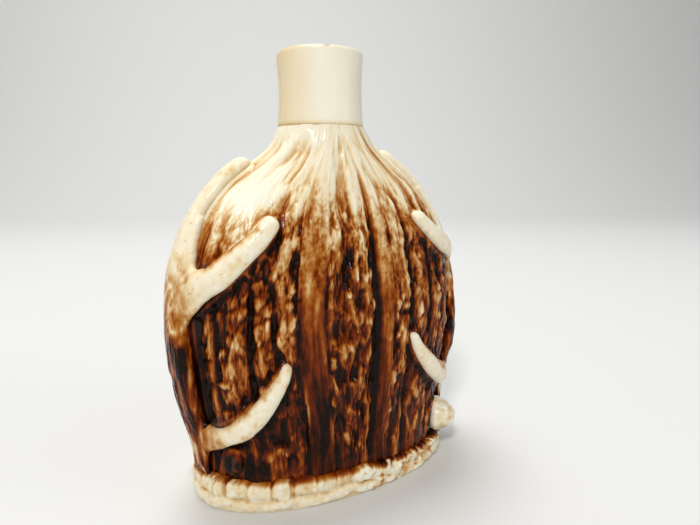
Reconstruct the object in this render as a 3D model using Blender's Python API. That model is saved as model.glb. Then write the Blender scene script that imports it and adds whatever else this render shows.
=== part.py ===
"""Spirit flask of glazed earthenware, moulded like stag horn.

Two press-moulded half shells meet at the narrow sides and stand on an oval slab.
A lumpy coronet ring wraps the foot and carries the slab, and a plain collar sits
on the shoulder. An antler lies up each narrow side: one beam, with an upper tine,
a brow tine and a burr knob on each face. The origin is the middle of the resting
plane, +Z is up, X runs across the wide faces and the front faces -Y.
"""

import math

import bmesh
import bpy
import numpy as np

MM = 0.001

# Heights, from the resting plane up
FLASK_HEIGHT = 130.0 * MM
NECK_LENGTH = 21.5 * MM
BELLY_HEIGHT = 50.0 * MM
SLAB_RECESS = 1.7 * MM
SLAB_THICKNESS = 3.0 * MM
CORONET_HEIGHT = 8.0 * MM
CORONET_FALL = 3.0 * MM

# Body, across X and Y
BODY_WIDTH = 87.4 * MM
BODY_DEPTH = 47.0 * MM
FOOT_WIDTH_DRAW_IN = 8.0 * MM
FOOT_DEPTH_DRAW_IN = 1.8 * MM
WALL = 4.0 * MM
SQUARENESS = 0.6
FOOT_SQUARENESS = 0.25

# Collar and bore
NECK_WALL = 4.45 * MM
NECK_DRAW_IN = 0.45 * MM
BORE_DIAMETER = 17.0 * MM
RIM_ROUND = 1.2 * MM
BORE_ROUND = 0.6 * MM

# Coronet ring round the foot: how far it stands proud of the body's ends and faces
CORONET_END_PROUD = 3.8 * MM
CORONET_FACE_PROUD = 2.2 * MM
CORONET_SQUARENESS = 0.15
CORONET_TREAD = 5.6 * MM
CORONET_TOE = 1.0 * MM
CORONET_WAIST_DEPTH = 0.9 * MM
CORONET_PEARL_DEPTH = 1.1 * MM
CORONET_JAG = 1.2 * MM
CORONET_PEARLS = 29
CORONET_SEED = 41

# Relief of the horn grain, cut inward from the smooth skin
GROOVE_DEPTH = 1.6 * MM
LUMP_DEPTH = 0.9 * MM
LUMP_WIDTH = 3.4 * MM
LUMP_HEIGHT = 6.6 * MM
WANDER_REACH = 1.1 * MM
WANDER_WIDTH = 8.0 * MM
WANDER_HEIGHT = 15.0 * MM
NOISE_TURN = 0.6
MIX_FACTOR = 6364136223846793005
MIX_SHIFT = 32
RANDOM_STEPS = 2 ** 24
RUN_WIDTH = 7.0 * MM
RUN_HEIGHT = 16.0 * MM
RUN_SEED = 17
WANDER_SEED = 11
LUMP_SEED = 41
FLANK_ROW_PITCH = 3.6 * MM
SHOULDER_START = 86.0 * MM
SHOULDER_ROWS = 7
GRAIN_FADE = 4.0 * MM

# Antlers
BEAM_FOOT_WIDTH = 10.0 * MM
BEAM_WIDTH = 13.0 * MM
BEAM_TIP_WIDTH = 7.6 * MM
BEAM_FOOT_RISE = 3.4 * MM
BEAM_RISE = 5.5 * MM
BEAM_TIP_RISE = 3.6 * MM
UPPER_ROOT_WIDTH = 9.6 * MM
UPPER_TIP_WIDTH = 4.6 * MM
UPPER_ROOT_RISE = 4.4 * MM
UPPER_TIP_RISE = 2.8 * MM
BROW_ROOT_WIDTH = 7.8 * MM
BROW_TIP_WIDTH = 2.4 * MM
BROW_ROOT_RISE = 3.6 * MM
BROW_TIP_RISE = 2.2 * MM
LEFT_KNOB_WIDTH = 7.6 * MM
LEFT_KNOB_RISE = 2.6 * MM
LEFT_KNOB_DROP = 4.7 * MM
RIGHT_KNOB_WIDTH = 11.4 * MM
RIGHT_KNOB_RISE = 7.2 * MM
RIGHT_KNOB_DROP = 8.6 * MM
KNOB_LIFT = 0.5 * MM

# Clearances and working allowances
GAP = 0.3 * MM
OVERRUN = 2.0 * MM
PROBE = 0.1 * MM

# Facets
NECK_SIDES = 32
NECK_ROWS = 6
RIM_ANGLES = (30, 60, 90)
BORE_ANGLES = (90, 45, 0)
SHARP_ANGLE = 50
SLAB_SIDES = 48
CAVITY_SIDES = 28
CAVITY_ROWS = 10
OUTLINE_STEPS = 24
ARC_STEPS = 2001
BEAM_RINGS = 18
TINE_RINGS = 9
KNOB_RINGS = 3
TIP_RINGS = 4
HORN_TOP_POINTS = 7
HORN_BASE_POINTS = 2

# Levels and sizes that follow from those above
SLAB_BOTTOM = SLAB_RECESS + GAP
SLAB_TOP = SLAB_BOTTOM + SLAB_THICKNESS
BODY_BOTTOM = SLAB_TOP + GAP
SHOULDER_TOP = FLASK_HEIGHT - NECK_LENGTH
BODY_TOP = SHOULDER_TOP - GAP
NECK_DIAMETER = BORE_DIAMETER + 2 * NECK_WALL
BODY_FOOT_WIDTH = BODY_WIDTH - FOOT_WIDTH_DRAW_IN
BODY_FOOT_DEPTH = BODY_DEPTH - FOOT_DEPTH_DRAW_IN
CORONET_WIDTH = BODY_FOOT_WIDTH + 2 * CORONET_END_PROUD
CORONET_DEPTH = BODY_FOOT_DEPTH + 2 * CORONET_FACE_PROUD

# Body outline, foot to belly: height, then the way from foot size to belly size
LOWER_OUTLINE_SHARES = (
    (0.00, 0.00, 0.00),
    (0.33, 0.27, 0.65),
    (0.66, 0.78, 0.96),
    (1.00, 1.00, 1.00),
)
# Body outline, belly to neck: height, then the way from neck size to belly size
SHOULDER_OUTLINE_SHARES = (
    (0.20, 0.98, 0.96),
    (0.41, 0.90, 0.86),
    (0.58, 0.765, 0.70),
    (0.72, 0.55, 0.50),
    (0.82, 0.315, 0.32),
    (0.90, 0.13, 0.17),
    (1.00, 0.00, 0.00),
)

# Grooves across one face: place between the seams, half width, depth
GROOVE_SHARES = (
    (0.090, 0.026, 1.00),
    (0.172, 0.011, 0.60),
    (0.285, 0.012, 0.80),
    (0.345, 0.012, 0.65),
    (0.398, 0.008, 0.45),
    (0.455, 0.008, 0.40),
    (0.486, 0.008, 0.55),
    (0.530, 0.011, 1.00),
    (0.565, 0.007, 0.35),
    (0.618, 0.012, 0.80),
    (0.690, 0.011, 0.60),
    (0.760, 0.011, 0.65),
    (0.835, 0.011, 0.60),
    (0.910, 0.026, 1.00),
)
# How strongly each ridge between those grooves is pearled, seam to seam
PEARL_SHARES = (0.1, 0.8, 1.0, 0.9, 0.9, 0.12, 0.9, 1.0, 0.25, 0.9, 0.8, 0.9, 0.9, 0.8, 0.1)
WIDE_RIDGE_SHARE = 0.05
RIDGE_EDGE_SHARE = 0.2
TOUCH_SHARE = 0.01
SEAM_CALM_SHARE = 0.06
# Noise below the first share is a full dip or no groove, above the second a full pearl or groove
LUMP_SHARES = (0.30, 0.68)
RUN_SHARES = (0.30, 0.70)

# Grain depth against height: height between body bottom and top, depth
GRAIN_FADE_SHARES = ((0.685, 1.0), (0.775, 0.45), (0.86, 0.20), (1.0, 0.05))

# Coronet section, tread to wall: shares of the dip between pearls, the waist and the wall, height
CORONET_SECTION_SHARES = (
    (0.00, 0.0, 0.00, 0.14),
    (0.33, 0.0, 0.00, 0.36),
    (0.50, 1.0, 0.00, 0.48),
    (1.00, 0.0, 0.00, 0.66),
    (1.00, 0.0, 0.22, 0.88),
    (0.00, 0.0, 0.72, 1.00),
)
# Sections of one pearl: place across it, how far it bulges, how high it stands
CORONET_PEARL_SHARES = ((0.0, 0.0, 0.15), (0.33, 0.9, 1.0), (0.66, 1.0, 0.7))
# Least pearl against the mean: its width, its bulge
LEAST_PEARL_SHARES = (0.6, 0.5)

# Antler paths on a face: place between the seams, height on the body
BEAM_PATH_SHARES = (
    (0.030, 0.112),
    (0.032, 0.240),
    (0.026, 0.380),
    (0.010, 0.520),
    (0.000, 0.660),
    (0.000, 0.790),
    (0.000, 0.905),
)
RIGHT_BEAM_TIP_SHARE = 0.930
LEFT_UPPER_PATH_SHARES = (
    (0.008, 0.525),
    (0.050, 0.548),
    (0.102, 0.577),
    (0.155, 0.607),
    (0.212, 0.645),
    (0.255, 0.682),
    (0.293, 0.717),
    (0.326, 0.766),
)
LEFT_BROW_PATH_SHARES = (
    (0.030, 0.178),
    (0.075, 0.190),
    (0.127, 0.202),
    (0.189, 0.221),
    (0.233, 0.243),
    (0.280, 0.276),
    (0.322, 0.322),
    (0.356, 0.372),
    (0.370, 0.408),
)
RIGHT_UPPER_PATH_SHARES = (
    (0.990, 0.610),
    (0.905, 0.630),
    (0.835, 0.648),
    (0.770, 0.676),
    (0.704, 0.720),
    (0.662, 0.764),
)
RIGHT_BROW_PATH_SHARES = (
    (0.972, 0.228),
    (0.890, 0.237),
    (0.799, 0.259),
    (0.738, 0.291),
    (0.689, 0.324),
    (0.637, 0.380),
    (0.610, 0.433),
)
LEFT_KNOB_PLACE_SHARES = (0.189, 0.186, 0.182)
RIGHT_KNOB_PLACE_SHARES = (0.811, 0.816, 0.824)
# Beam section against its length: length, then the way from foot or tip size to full size
BEAM_SWELL_SHARES = ((0.0, 0.0), (0.12, 0.35), (0.30, 1.0), (0.60, 1.0), (0.76, 0.2), (1.0, 0.0))
LONGEST_TIP_SHARE = 0.4
LAST_RING_SHARE = 0.97
ARCH_POWER = 0.8
UPPER_TAPER = 1.2
BROW_TAPER = 3.0

CREAM_GLAZE = (0.72, 0.62, 0.44, 1.0)
IVORY_GLAZE = (0.74, 0.69, 0.56, 1.0)
HORN_GLAZE = (0.22, 0.075, 0.022, 1.0)
BARE_CLAY = (0.60, 0.50, 0.38, 1.0)
GLAZE_ROUGHNESS = 0.18
CLAY_ROUGHNESS = 0.75


def clear_scene():
    for item in list(bpy.data.objects):
        bpy.data.objects.remove(item, do_unlink=True)


def ceramic(name, colour, roughness):
    """A fired ceramic surface of one colour."""
    material = bpy.data.materials.new(name)
    material.use_nodes = True
    shader = material.node_tree.nodes["Principled BSDF"]
    shader.inputs["Base Color"].default_value = colour
    shader.inputs["Roughness"].default_value = roughness
    shader.inputs["Metallic"].default_value = 0.0
    return material


def through_points(points, steps):
    """A smooth Catmull-Rom curve through the points, with so many steps a span."""
    knots = np.asarray(points, dtype=float)
    padded = np.vstack((2 * knots[0] - knots[1], knots, 2 * knots[-1] - knots[-2]))
    curve = []
    for index in range(len(knots) - 1):
        before, start, end, after = padded[index:index + 4]
        for step in range(steps):
            t = step / steps
            curve.append(0.5 * (
                2 * start
                + (end - before) * t
                + (2 * before - 5 * start + 4 * end - after) * t ** 2
                + (3 * start - before - 3 * end + after) * t ** 3
            ))
    curve.append(knots[-1])
    return np.array(curve)


def even_points(curve, count):
    """So many points at even distances along a curve."""
    lengths = np.linalg.norm(np.diff(curve, axis=0), axis=1)
    travelled = np.concatenate(([0.0], np.cumsum(lengths)))
    places = np.linspace(0.0, travelled[-1], count)
    return np.column_stack([np.interp(places, travelled, column) for column in curve.T])


def body_outline():
    """Half width, half depth and height of the body's smooth skin, foot to shoulder."""
    neck = NECK_DIAMETER / 2
    points = []
    for height, width, depth in LOWER_OUTLINE_SHARES:
        points.append((
            (BODY_FOOT_WIDTH + width * (BODY_WIDTH - BODY_FOOT_WIDTH)) / 2,
            (BODY_FOOT_DEPTH + depth * (BODY_DEPTH - BODY_FOOT_DEPTH)) / 2,
            BODY_BOTTOM + height * (BELLY_HEIGHT - BODY_BOTTOM),
        ))
    for height, width, depth in SHOULDER_OUTLINE_SHARES:
        points.append((
            neck + width * (BODY_WIDTH / 2 - neck),
            neck + depth * (BODY_DEPTH / 2 - neck),
            BELLY_HEIGHT + height * (SHOULDER_TOP - BELLY_HEIGHT),
        ))
    return through_points(points, OUTLINE_STEPS)


OUTLINE = body_outline()


def half_sizes(z):
    """Half width, half depth and roundness exponent of the skin at a height."""
    half_width = np.interp(z, OUTLINE[:, 2], OUTLINE[:, 0])
    half_depth = np.interp(z, OUTLINE[:, 2], OUTLINE[:, 1])
    return half_width, half_depth, roundness(half_width, z)


def roundness(half_width, z):
    """Two for the round neck, most for the squarer belly, little more than two at the foot."""
    neck = NECK_DIAMETER / 2
    swell = np.clip((half_width - neck) / (BODY_WIDTH / 2 - neck), 0.0, 1.0)
    squareness = np.interp(z, (BODY_BOTTOM, BELLY_HEIGHT), (FOOT_SQUARENESS, SQUARENESS))
    return 2.0 + squareness * np.sqrt(swell)


def oval(turn, half_width, half_depth, exponent):
    """X and Y on an oval; turn 0 is the left seam and 0.25 the middle of the front."""
    across = np.cos(math.tau * turn)
    along = np.sin(math.tau * turn)
    x = -half_width * np.sign(across) * np.abs(across) ** (2.0 / exponent)
    y = -half_depth * np.sign(along) * np.abs(along) ** (2.0 / exponent)
    return x, y


def skin(turn, z):
    """Points on the smooth skin that touches the crests of the ridges."""
    turn, z = np.broadcast_arrays(np.asarray(turn, float), np.asarray(z, float))
    x, y = oval(turn, *half_sizes(z))
    return np.stack((x, y, z), axis=-1)


def skin_normal(turn, z):
    """Outward unit normals of the skin."""
    turn = np.asarray(turn, float)
    z = np.clip(np.asarray(z, float), BODY_BOTTOM + PROBE, SHOULDER_TOP - PROBE)
    step = PROBE / BODY_WIDTH
    around = skin(turn + step, z) - skin(turn - step, z)
    upward = skin(turn, z + PROBE) - skin(turn, z - PROBE)
    normal = np.cross(around, upward)
    return normal / np.linalg.norm(normal, axis=-1, keepdims=True)


def belly_arc():
    """Places on a face and how far round the belly each lies from the left seam."""
    places = np.linspace(0.0, 1.0, ARC_STEPS)
    steps = np.diff(skin(places / 2, BELLY_HEIGHT), axis=0)
    return places, np.concatenate(([0.0], np.cumsum(np.linalg.norm(steps, axis=1))))


ARC_PLACES, ARC_LENGTHS = belly_arc()


def arc_to(places):
    """Distance round the belly from the left seam to places on a face."""
    return np.interp(places, ARC_PLACES, ARC_LENGTHS)


def turn_of(x, y, z):
    """The turn at which a point near the skin lies, at its own height."""
    half_width, half_depth, exponent = half_sizes(z)
    across = np.sign(-x) * np.abs(x / half_width) ** (exponent / 2.0)
    along = np.sign(-y) * np.abs(y / half_depth) ** (exponent / 2.0)
    return np.arctan2(along, across) / math.tau


def smooth_step(low, high, value):
    share = np.clip((value - low) / (high - low), 0.0, 1.0)
    return share * share * (3.0 - 2.0 * share)


def stirred(mixed):
    """Whole numbers mixed through, so that near ones come out unlike each other."""
    for _ in range(2):
        mixed = (mixed + np.uint64(1)) * np.uint64(MIX_FACTOR)
        mixed = mixed ^ (mixed >> np.uint64(MIX_SHIFT))
    return mixed


def lattice(seed, *cells):
    """Random values from 0 to 1, one for each cell of a lattice."""
    mixed = np.full(np.shape(cells[0]), seed, dtype=np.uint64)
    for cell in cells:
        mixed = stirred(mixed) + cell.astype(np.int64).astype(np.uint64)
    return (stirred(mixed) % np.uint64(RANDOM_STEPS)).astype(float) / RANDOM_STEPS


def noise(seed, across, up):
    """Smooth noise from 0 to 1 on a lattice turned against the two places."""
    cosine, sine = math.cos(NOISE_TURN), math.sin(NOISE_TURN)
    column = across * cosine - up * sine
    row = across * sine + up * cosine
    low_column, low_row = np.floor(column), np.floor(row)
    right = smooth_step(0.0, 1.0, column - low_column)
    over = smooth_step(0.0, 1.0, row - low_row)
    lower = (1 - right) * lattice(seed, low_column, low_row)
    lower += right * lattice(seed, low_column + 1, low_row)
    upper = (1 - right) * lattice(seed, low_column, low_row + 1)
    upper += right * lattice(seed, low_column + 1, low_row + 1)
    return (1 - over) * lower + over * upper


def finish_mesh(name, form, material):
    """A named object with clean outward faces, smooth apart from its creases."""
    bmesh.ops.recalc_face_normals(form, faces=form.faces)
    mesh = bpy.data.meshes.new(name)
    form.to_mesh(mesh)
    form.free()
    mesh.shade_smooth()
    mesh.set_sharp_from_angle(angle=math.radians(SHARP_ANGLE))
    if material is not None:
        mesh.materials.append(material)
    item = bpy.data.objects.new(name, mesh)
    bpy.context.scene.collection.objects.link(item)
    return item


def half_turned(item, name):
    """The same mesh at the opposite side, turned half round the upright axis."""
    copy = bpy.data.objects.new(name, item.data)
    copy.rotation_euler = (0.0, 0.0, math.pi)
    bpy.context.scene.collection.objects.link(copy)
    return copy


def loft(name, rings, material, closed_path=False):
    """A solid through closed rings of points, capped at both ends or joined to itself."""
    form = bmesh.new()
    rows = [[form.verts.new(point) for point in ring] for ring in rings]
    spans = list(zip(rows, rows[1:]))
    if closed_path:
        spans.append((rows[-1], rows[0]))
    else:
        form.faces.new(rows[0])
        form.faces.new(rows[-1])
    for lower, upper in spans:
        for index in range(len(lower)):
            follower = (index + 1) % len(lower)
            form.faces.new((lower[index], lower[follower], upper[follower], upper[index]))
    return finish_mesh(name, form, material)


def mark_as_cutter(item):
    item.hide_render = True
    item.display_type = "WIRE"


def cut(item, cutter):
    """Takes the cutter's form out of the item."""
    boolean = item.modifiers.new("cut_" + cutter.name, "BOOLEAN")
    boolean.operation = "DIFFERENCE"
    boolean.solver = "EXACT"
    boolean.object = cutter


def face_columns():
    """Places across a face where the grain needs a column of points."""
    columns = [0.0]
    last_edge = 0.0
    for place, half_width, _ in GROOVE_SHARES + ((1.0, 0.0, 0.0),):
        ridge = place - half_width - last_edge
        if ridge > WIDE_RIDGE_SHARE:
            columns.extend((last_edge + ridge / 3, last_edge + ridge * 2 / 3))
        else:
            columns.append(last_edge + ridge / 2)
        if half_width:
            columns.extend((place - half_width, place, place + half_width))
        last_edge = place + half_width
    columns.append(1.0)
    return np.array(columns)


def body_rows():
    """Heights of the rows of points: even up the flank, then even over the shoulder."""
    flank_rows = round((SHOULDER_START - BODY_BOTTOM) / FLANK_ROW_PITCH) + 1
    flank = np.linspace(BODY_BOTTOM, SHOULDER_START, flank_rows)
    shoulder = OUTLINE[OUTLINE[:, 2] > SHOULDER_START]
    shoulder = np.vstack((skin_profile(SHOULDER_START), shoulder[shoulder[:, 2] < BODY_TOP]))
    shoulder = np.vstack((shoulder, skin_profile(BODY_TOP)))
    return np.concatenate((flank, even_points(shoulder, SHOULDER_ROWS + 1)[1:, 2]))


def skin_profile(z):
    half_width, half_depth, _ = half_sizes(z)
    return np.array((half_width, half_depth, z))


def strayed(places, z):
    """Where the grooves' places lie at a height: strayed sideways, but not at the seams."""
    arc = arc_to(places)
    stray = noise(WANDER_SEED, arc / WANDER_WIDTH, z / WANDER_HEIGHT) - 0.5
    calm = np.clip(np.minimum(places, 1.0 - places) / SEAM_CALM_SHARE, 0.0, 1.0)
    return np.interp(arc - WANDER_REACH * stray * calm, ARC_LENGTHS, ARC_PLACES)


def groove_cuts(columns, z):
    """Depth shares of the grooves at a height; the shallow ones come and go."""
    level = noise(RUN_SEED, arc_to(columns) / RUN_WIDTH, z / RUN_HEIGHT)
    level = smooth_step(*RUN_SHARES, level)
    depths = np.zeros(len(columns))
    for place, half_width, share in GROOVE_SHARES:
        slope = 1.0 - np.abs(columns - place) / half_width
        run = np.clip(1.0 - 2.0 * (1.0 - share) * (1.0 - level), 0.0, 1.0)
        depths = np.maximum(depths, share * run * slope)
        depths = np.maximum(depths, RIDGE_EDGE_SHARE * (slope > -TOUCH_SHARE))
    return depths


def lump_cuts(columns, z):
    """Depth shares of the dips between the lumps of the ridges at a height."""
    ridges = np.searchsorted([place for place, _, _ in GROOVE_SHARES], columns)
    level = noise(LUMP_SEED, arc_to(columns) / LUMP_WIDTH, z / LUMP_HEIGHT)
    return np.asarray(PEARL_SHARES)[ridges] * (1.0 - smooth_step(*LUMP_SHARES, level))


def grain_fade(z):
    """Depth share of the grain at a height: nothing in the coronet, soft at the neck."""
    foot = CORONET_HEIGHT + CORONET_JAG
    heights = [foot, foot + GRAIN_FADE]
    depths = [0.0, 1.0]
    for height, depth in GRAIN_FADE_SHARES:
        heights.append(BODY_BOTTOM + height * (BODY_TOP - BODY_BOTTOM))
        depths.append(depth)
    return float(np.interp(z, heights, depths))


def grain_depths(columns, z):
    """How far the horn grain lies under the smooth skin, column by column."""
    grooves = groove_cuts(columns, z)
    depths = grooves * GROOVE_DEPTH
    if z < SHOULDER_START:
        depths = np.where(grooves == 0.0, lump_cuts(columns, z) * LUMP_DEPTH, depths)
    return depths * grain_fade(z)


def half_shell_blank(name, material):
    """The grained front half as a full solid, flat along the seam plane."""
    columns = face_columns()
    rows = body_rows()
    rings = []
    for z in rows:
        depths = grain_depths(columns, z)
        turns = strayed(columns, z) / 2
        ring = skin(turns, z) - skin_normal(turns, z) * depths[:, None]
        if z in (rows[0], rows[-1]):
            ring[:, 2] = z
        ring[[0, -1], 1] = -GAP / 2
        rings.append(ring)
    return loft(name, rings, material)


def inset_outline(column):
    """Radius and height of one side of the body outline, moved in by the wall."""
    radius = OUTLINE[:, column]
    height = OUTLINE[:, 2]
    slope = np.gradient(radius, height)
    length = np.sqrt(1.0 + slope ** 2)
    return radius - WALL / length, height + WALL * slope / length


def cavity():
    """The smooth hollow of the body with its throat, as a cutter."""
    bore = BORE_DIAMETER / 2
    inner_widths, width_heights = inset_outline(0)
    inner_depths, depth_heights = inset_outline(1)
    throat = min(width_heights[-1], depth_heights[-1])
    rings = []
    turns = (np.arange(CAVITY_SIDES) + 0.5) / CAVITY_SIDES
    levels = np.linspace(BODY_BOTTOM, throat, CAVITY_ROWS)
    for z in np.concatenate(([BODY_BOTTOM - OVERRUN], levels[1:], [BODY_TOP + OVERRUN])):
        half_width = max(bore, np.interp(z, width_heights, inner_widths))
        half_depth = max(bore, np.interp(z, depth_heights, inner_depths))
        if z > throat:
            half_width = half_depth = bore
        x, y = oval(turns, half_width, half_depth, roundness(half_width + WALL, z))
        rings.append(np.column_stack((x, y, np.full_like(x, z))))
    cutter = loft("body_cavity", rings, None)
    mark_as_cutter(cutter)
    return cutter


def body_shells(glaze):
    """The two half shells, alike, around one hollow."""
    hollow = cavity()
    front = half_shell_blank("front_shell", glaze)
    back = half_turned(front, "back_shell")
    for shell in (front, back):
        cut(shell, hollow)


def neck_collar(glaze):
    """The plain tube on the shoulder, a little drawn in, with a round lip."""
    outer = NECK_DIAMETER / 2
    inner = BORE_DIAMETER / 2
    profile = []
    barrel = NECK_LENGTH - RIM_ROUND
    for share in np.linspace(0.0, 1.0, NECK_ROWS):
        draw_in = NECK_DRAW_IN * math.sin(math.pi * share)
        profile.append((outer - draw_in, SHOULDER_TOP + barrel * share))
    for angle in np.radians(RIM_ANGLES):
        profile.append((
            outer - RIM_ROUND * (1 - math.cos(angle)),
            FLASK_HEIGHT - RIM_ROUND * (1 - math.sin(angle)),
        ))
    for angle in np.radians(BORE_ANGLES):
        profile.append((
            inner + BORE_ROUND * (1 - math.cos(angle)),
            FLASK_HEIGHT - BORE_ROUND * (1 - math.sin(angle)),
        ))
    profile.append((inner, SHOULDER_TOP))
    rings = []
    for turn in np.arange(NECK_SIDES) / NECK_SIDES:
        x, y = oval(turn, 1.0, 1.0, 2.0)
        rings.append([(radius * x, radius * y, z) for radius, z in profile])
    loft("neck_collar", rings, glaze, closed_path=True)


def base_plate(clay):
    """The oval slab that closes the foot, set up inside the coronet."""
    turns = np.arange(SLAB_SIDES) / SLAB_SIDES
    rings = []
    for z in (SLAB_BOTTOM, SLAB_TOP):
        ring = skin(turns, BODY_BOTTOM)
        ring[:, 2] = z
        rings.append(ring)
    loft("base_plate", rings, clay)


def coronet_top(turn, jag):
    """Height of the coronet's upper edge, which falls from the left end to the right."""
    x, _ = oval(turn, CORONET_WIDTH / 2, CORONET_DEPTH / 2, 2.0 + CORONET_SQUARENESS)
    return CORONET_HEIGHT - CORONET_FALL * x / CORONET_WIDTH + jag * CORONET_JAG


def coronet_section(turn, bulge, jag):
    """One section of the coronet ring, from its tread round to the slab seat."""
    x, y = oval(turn, CORONET_WIDTH / 2, CORONET_DEPTH / 2, 2.0 + CORONET_SQUARENESS)
    rim = np.array((x, y, 0.0))
    top = coronet_top(turn, jag)
    wall_top = skin(turn, top) + skin_normal(turn, top) * GAP
    wall_top[2] = top
    seat = skin(turn, BODY_BOTTOM) + skin_normal(turn, BODY_BOTTOM) * GAP
    inward = -skin_normal(turn, BODY_BOTTOM)
    inward[2] = 0.0
    inward /= np.linalg.norm(inward)
    thickness = (wall_top - rim) @ inward

    def place_at(depth, z):
        point = rim + inward * depth
        point[2] = z
        return point

    section = [place_at(CORONET_TREAD + CORONET_TOE, 0.0), place_at(CORONET_TOE, 0.0)]
    for dip, waist, wall, height in CORONET_SECTION_SHARES:
        depth = dip * CORONET_PEARL_DEPTH * (1 - bulge)
        depth += waist * CORONET_WAIST_DEPTH + wall * thickness
        section.append(place_at(depth, height * top))
    section += [wall_top, seat, np.array((seat[0], seat[1], SLAB_RECESS))]
    section.append(place_at(CORONET_TREAD + CORONET_TOE, SLAB_RECESS))
    return np.array(section)


def foot_coronet(glaze):
    """The ring of pearls round the foot, each pearl with its own width, bulge and height."""
    numbers = np.arange(CORONET_PEARLS)
    least_width, least_bulge = LEAST_PEARL_SHARES
    widths = least_width + 2 * (1 - least_width) * lattice(CORONET_SEED, numbers)
    widths /= widths.sum()
    starts = np.cumsum(widths) - widths
    bulges = least_bulge + (1 - least_bulge) * lattice(CORONET_SEED + 1, numbers)
    peaks = lattice(CORONET_SEED + 2, numbers)
    rings = []
    for start, width, largest, peak in zip(starts, widths, bulges, peaks):
        for place, bulge, height in CORONET_PEARL_SHARES:
            rings.append(coronet_section(start + place * width, bulge * largest, height * peak))
    loft("foot_coronet", rings, glaze, closed_path=True)


def horn_rings(path, widths, rises, tip_rounds, grow=0.0):
    """Sections of a horn that lies on the skin along a path of turns and heights."""
    centres = skin(path[:, 0], path[:, 1])
    ahead = np.gradient(centres, axis=0)
    angles = np.linspace(0.0, math.pi, HORN_TOP_POINTS)
    base_places = np.linspace(-1.0, 1.0, HORN_BASE_POINTS + 2)[1:-1]
    raised = np.arange(HORN_TOP_POINTS + HORN_BASE_POINTS) < HORN_TOP_POINTS - 1
    raised[0] = False
    rings = []
    for centre, forward, (turn, z), width, rise, end in zip(
            centres, ahead, path, widths, rises, tip_rounds):
        normal = skin_normal(turn, z)
        side = np.cross(forward, normal)
        side /= np.linalg.norm(side)
        half = end * width / 2 + grow
        offsets = np.concatenate((np.cos(angles), base_places)) * half
        arch = np.concatenate((np.sin(angles).clip(0.0) ** ARCH_POWER, np.zeros(HORN_BASE_POINTS)))
        spots = centre + side * offsets[:, None]
        turns = turn_of(spots[:, 0], spots[:, 1], spots[:, 2])
        heights = GAP + arch * end * rise + np.where(raised, grow, -2 * grow)
        rings.append(skin(turns, spots[:, 2])
                     + skin_normal(turns, spots[:, 2]) * heights[:, None])
    return rings


def horn_path(path_shares):
    """A fine curve of turns and heights through a path given in shares of a face."""
    points = [(place / 2, height * SHOULDER_TOP) for place, height in path_shares]
    return through_points(points, OUTLINE_STEPS)


def horn(name, path_shares, count, width_at, rise_at, material, both_ends=False, grow=0.0):
    """A horn along a path, with sections at even steps and a round tip.

    width_at and rise_at give the full section at a share of the horn's length.
    """
    curve = horn_path(path_shares)
    steps = np.linalg.norm(np.diff(skin(curve[:, 0], curve[:, 1]), axis=0), axis=1)
    travelled = np.concatenate(([0.0], np.cumsum(steps)))
    length = travelled[-1]
    tip_reach = min(width_at(1.0) / 2, length * LONGEST_TIP_SHARE)
    tip_angles = np.linspace(0.0, math.pi / 2, TIP_RINGS + 1)[1:] * LAST_RING_SHARE
    tip_places = length - tip_reach * (1 - np.sin(tip_angles))
    places = np.linspace(0.0, length - tip_reach, count)
    fullness = np.ones(count)
    if both_ends:
        places = np.linspace(tip_reach, length - tip_reach, count)
        places = np.concatenate((length - tip_places[::-1], places))
        fullness = np.concatenate((np.cos(tip_angles[::-1]), fullness))
    places = np.concatenate((places, tip_places))
    fullness = np.concatenate((fullness, np.cos(tip_angles)))
    path = np.column_stack([np.interp(places, travelled, column) for column in curve.T])
    widths = [width_at(place) for place in places / length]
    rises = [rise_at(place) for place in places / length]
    return loft(name, horn_rings(path, widths, rises, fullness, grow), material)


def antler_beams(glaze):
    """The beams up the narrow sides, and the forms that clear them."""

    def swollen(foot, full, tip):
        def size_at(along):
            swell = np.interp(along, *zip(*BEAM_SWELL_SHARES))
            end = foot if along < 0.5 else tip
            return end + swell * (full - end)
        return size_at

    width_at = swollen(BEAM_FOOT_WIDTH, BEAM_WIDTH, BEAM_TIP_WIDTH)
    rise_at = swollen(BEAM_FOOT_RISE, BEAM_RISE, BEAM_TIP_RISE)
    mirrored = [(1.0 - place, height) for place, height in BEAM_PATH_SHARES[:-1]]
    mirrored.append((1.0, RIGHT_BEAM_TIP_SHARE))
    clearances = []
    for side, path_shares in (("left", BEAM_PATH_SHARES), ("right", mirrored)):
        horn(f"{side}_antler_beam", path_shares, BEAM_RINGS, width_at, rise_at, glaze)
        clearance = horn(f"{side}_beam_clearance", path_shares, BEAM_RINGS,
                         width_at, rise_at, None, grow=GAP)
        mark_as_cutter(clearance)
        clearances.append(clearance)
    return clearances


def tapered(root, tip, power):
    """A size that runs from root to tip, slowly at first."""
    return lambda along: root + along ** power * (tip - root)


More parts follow.
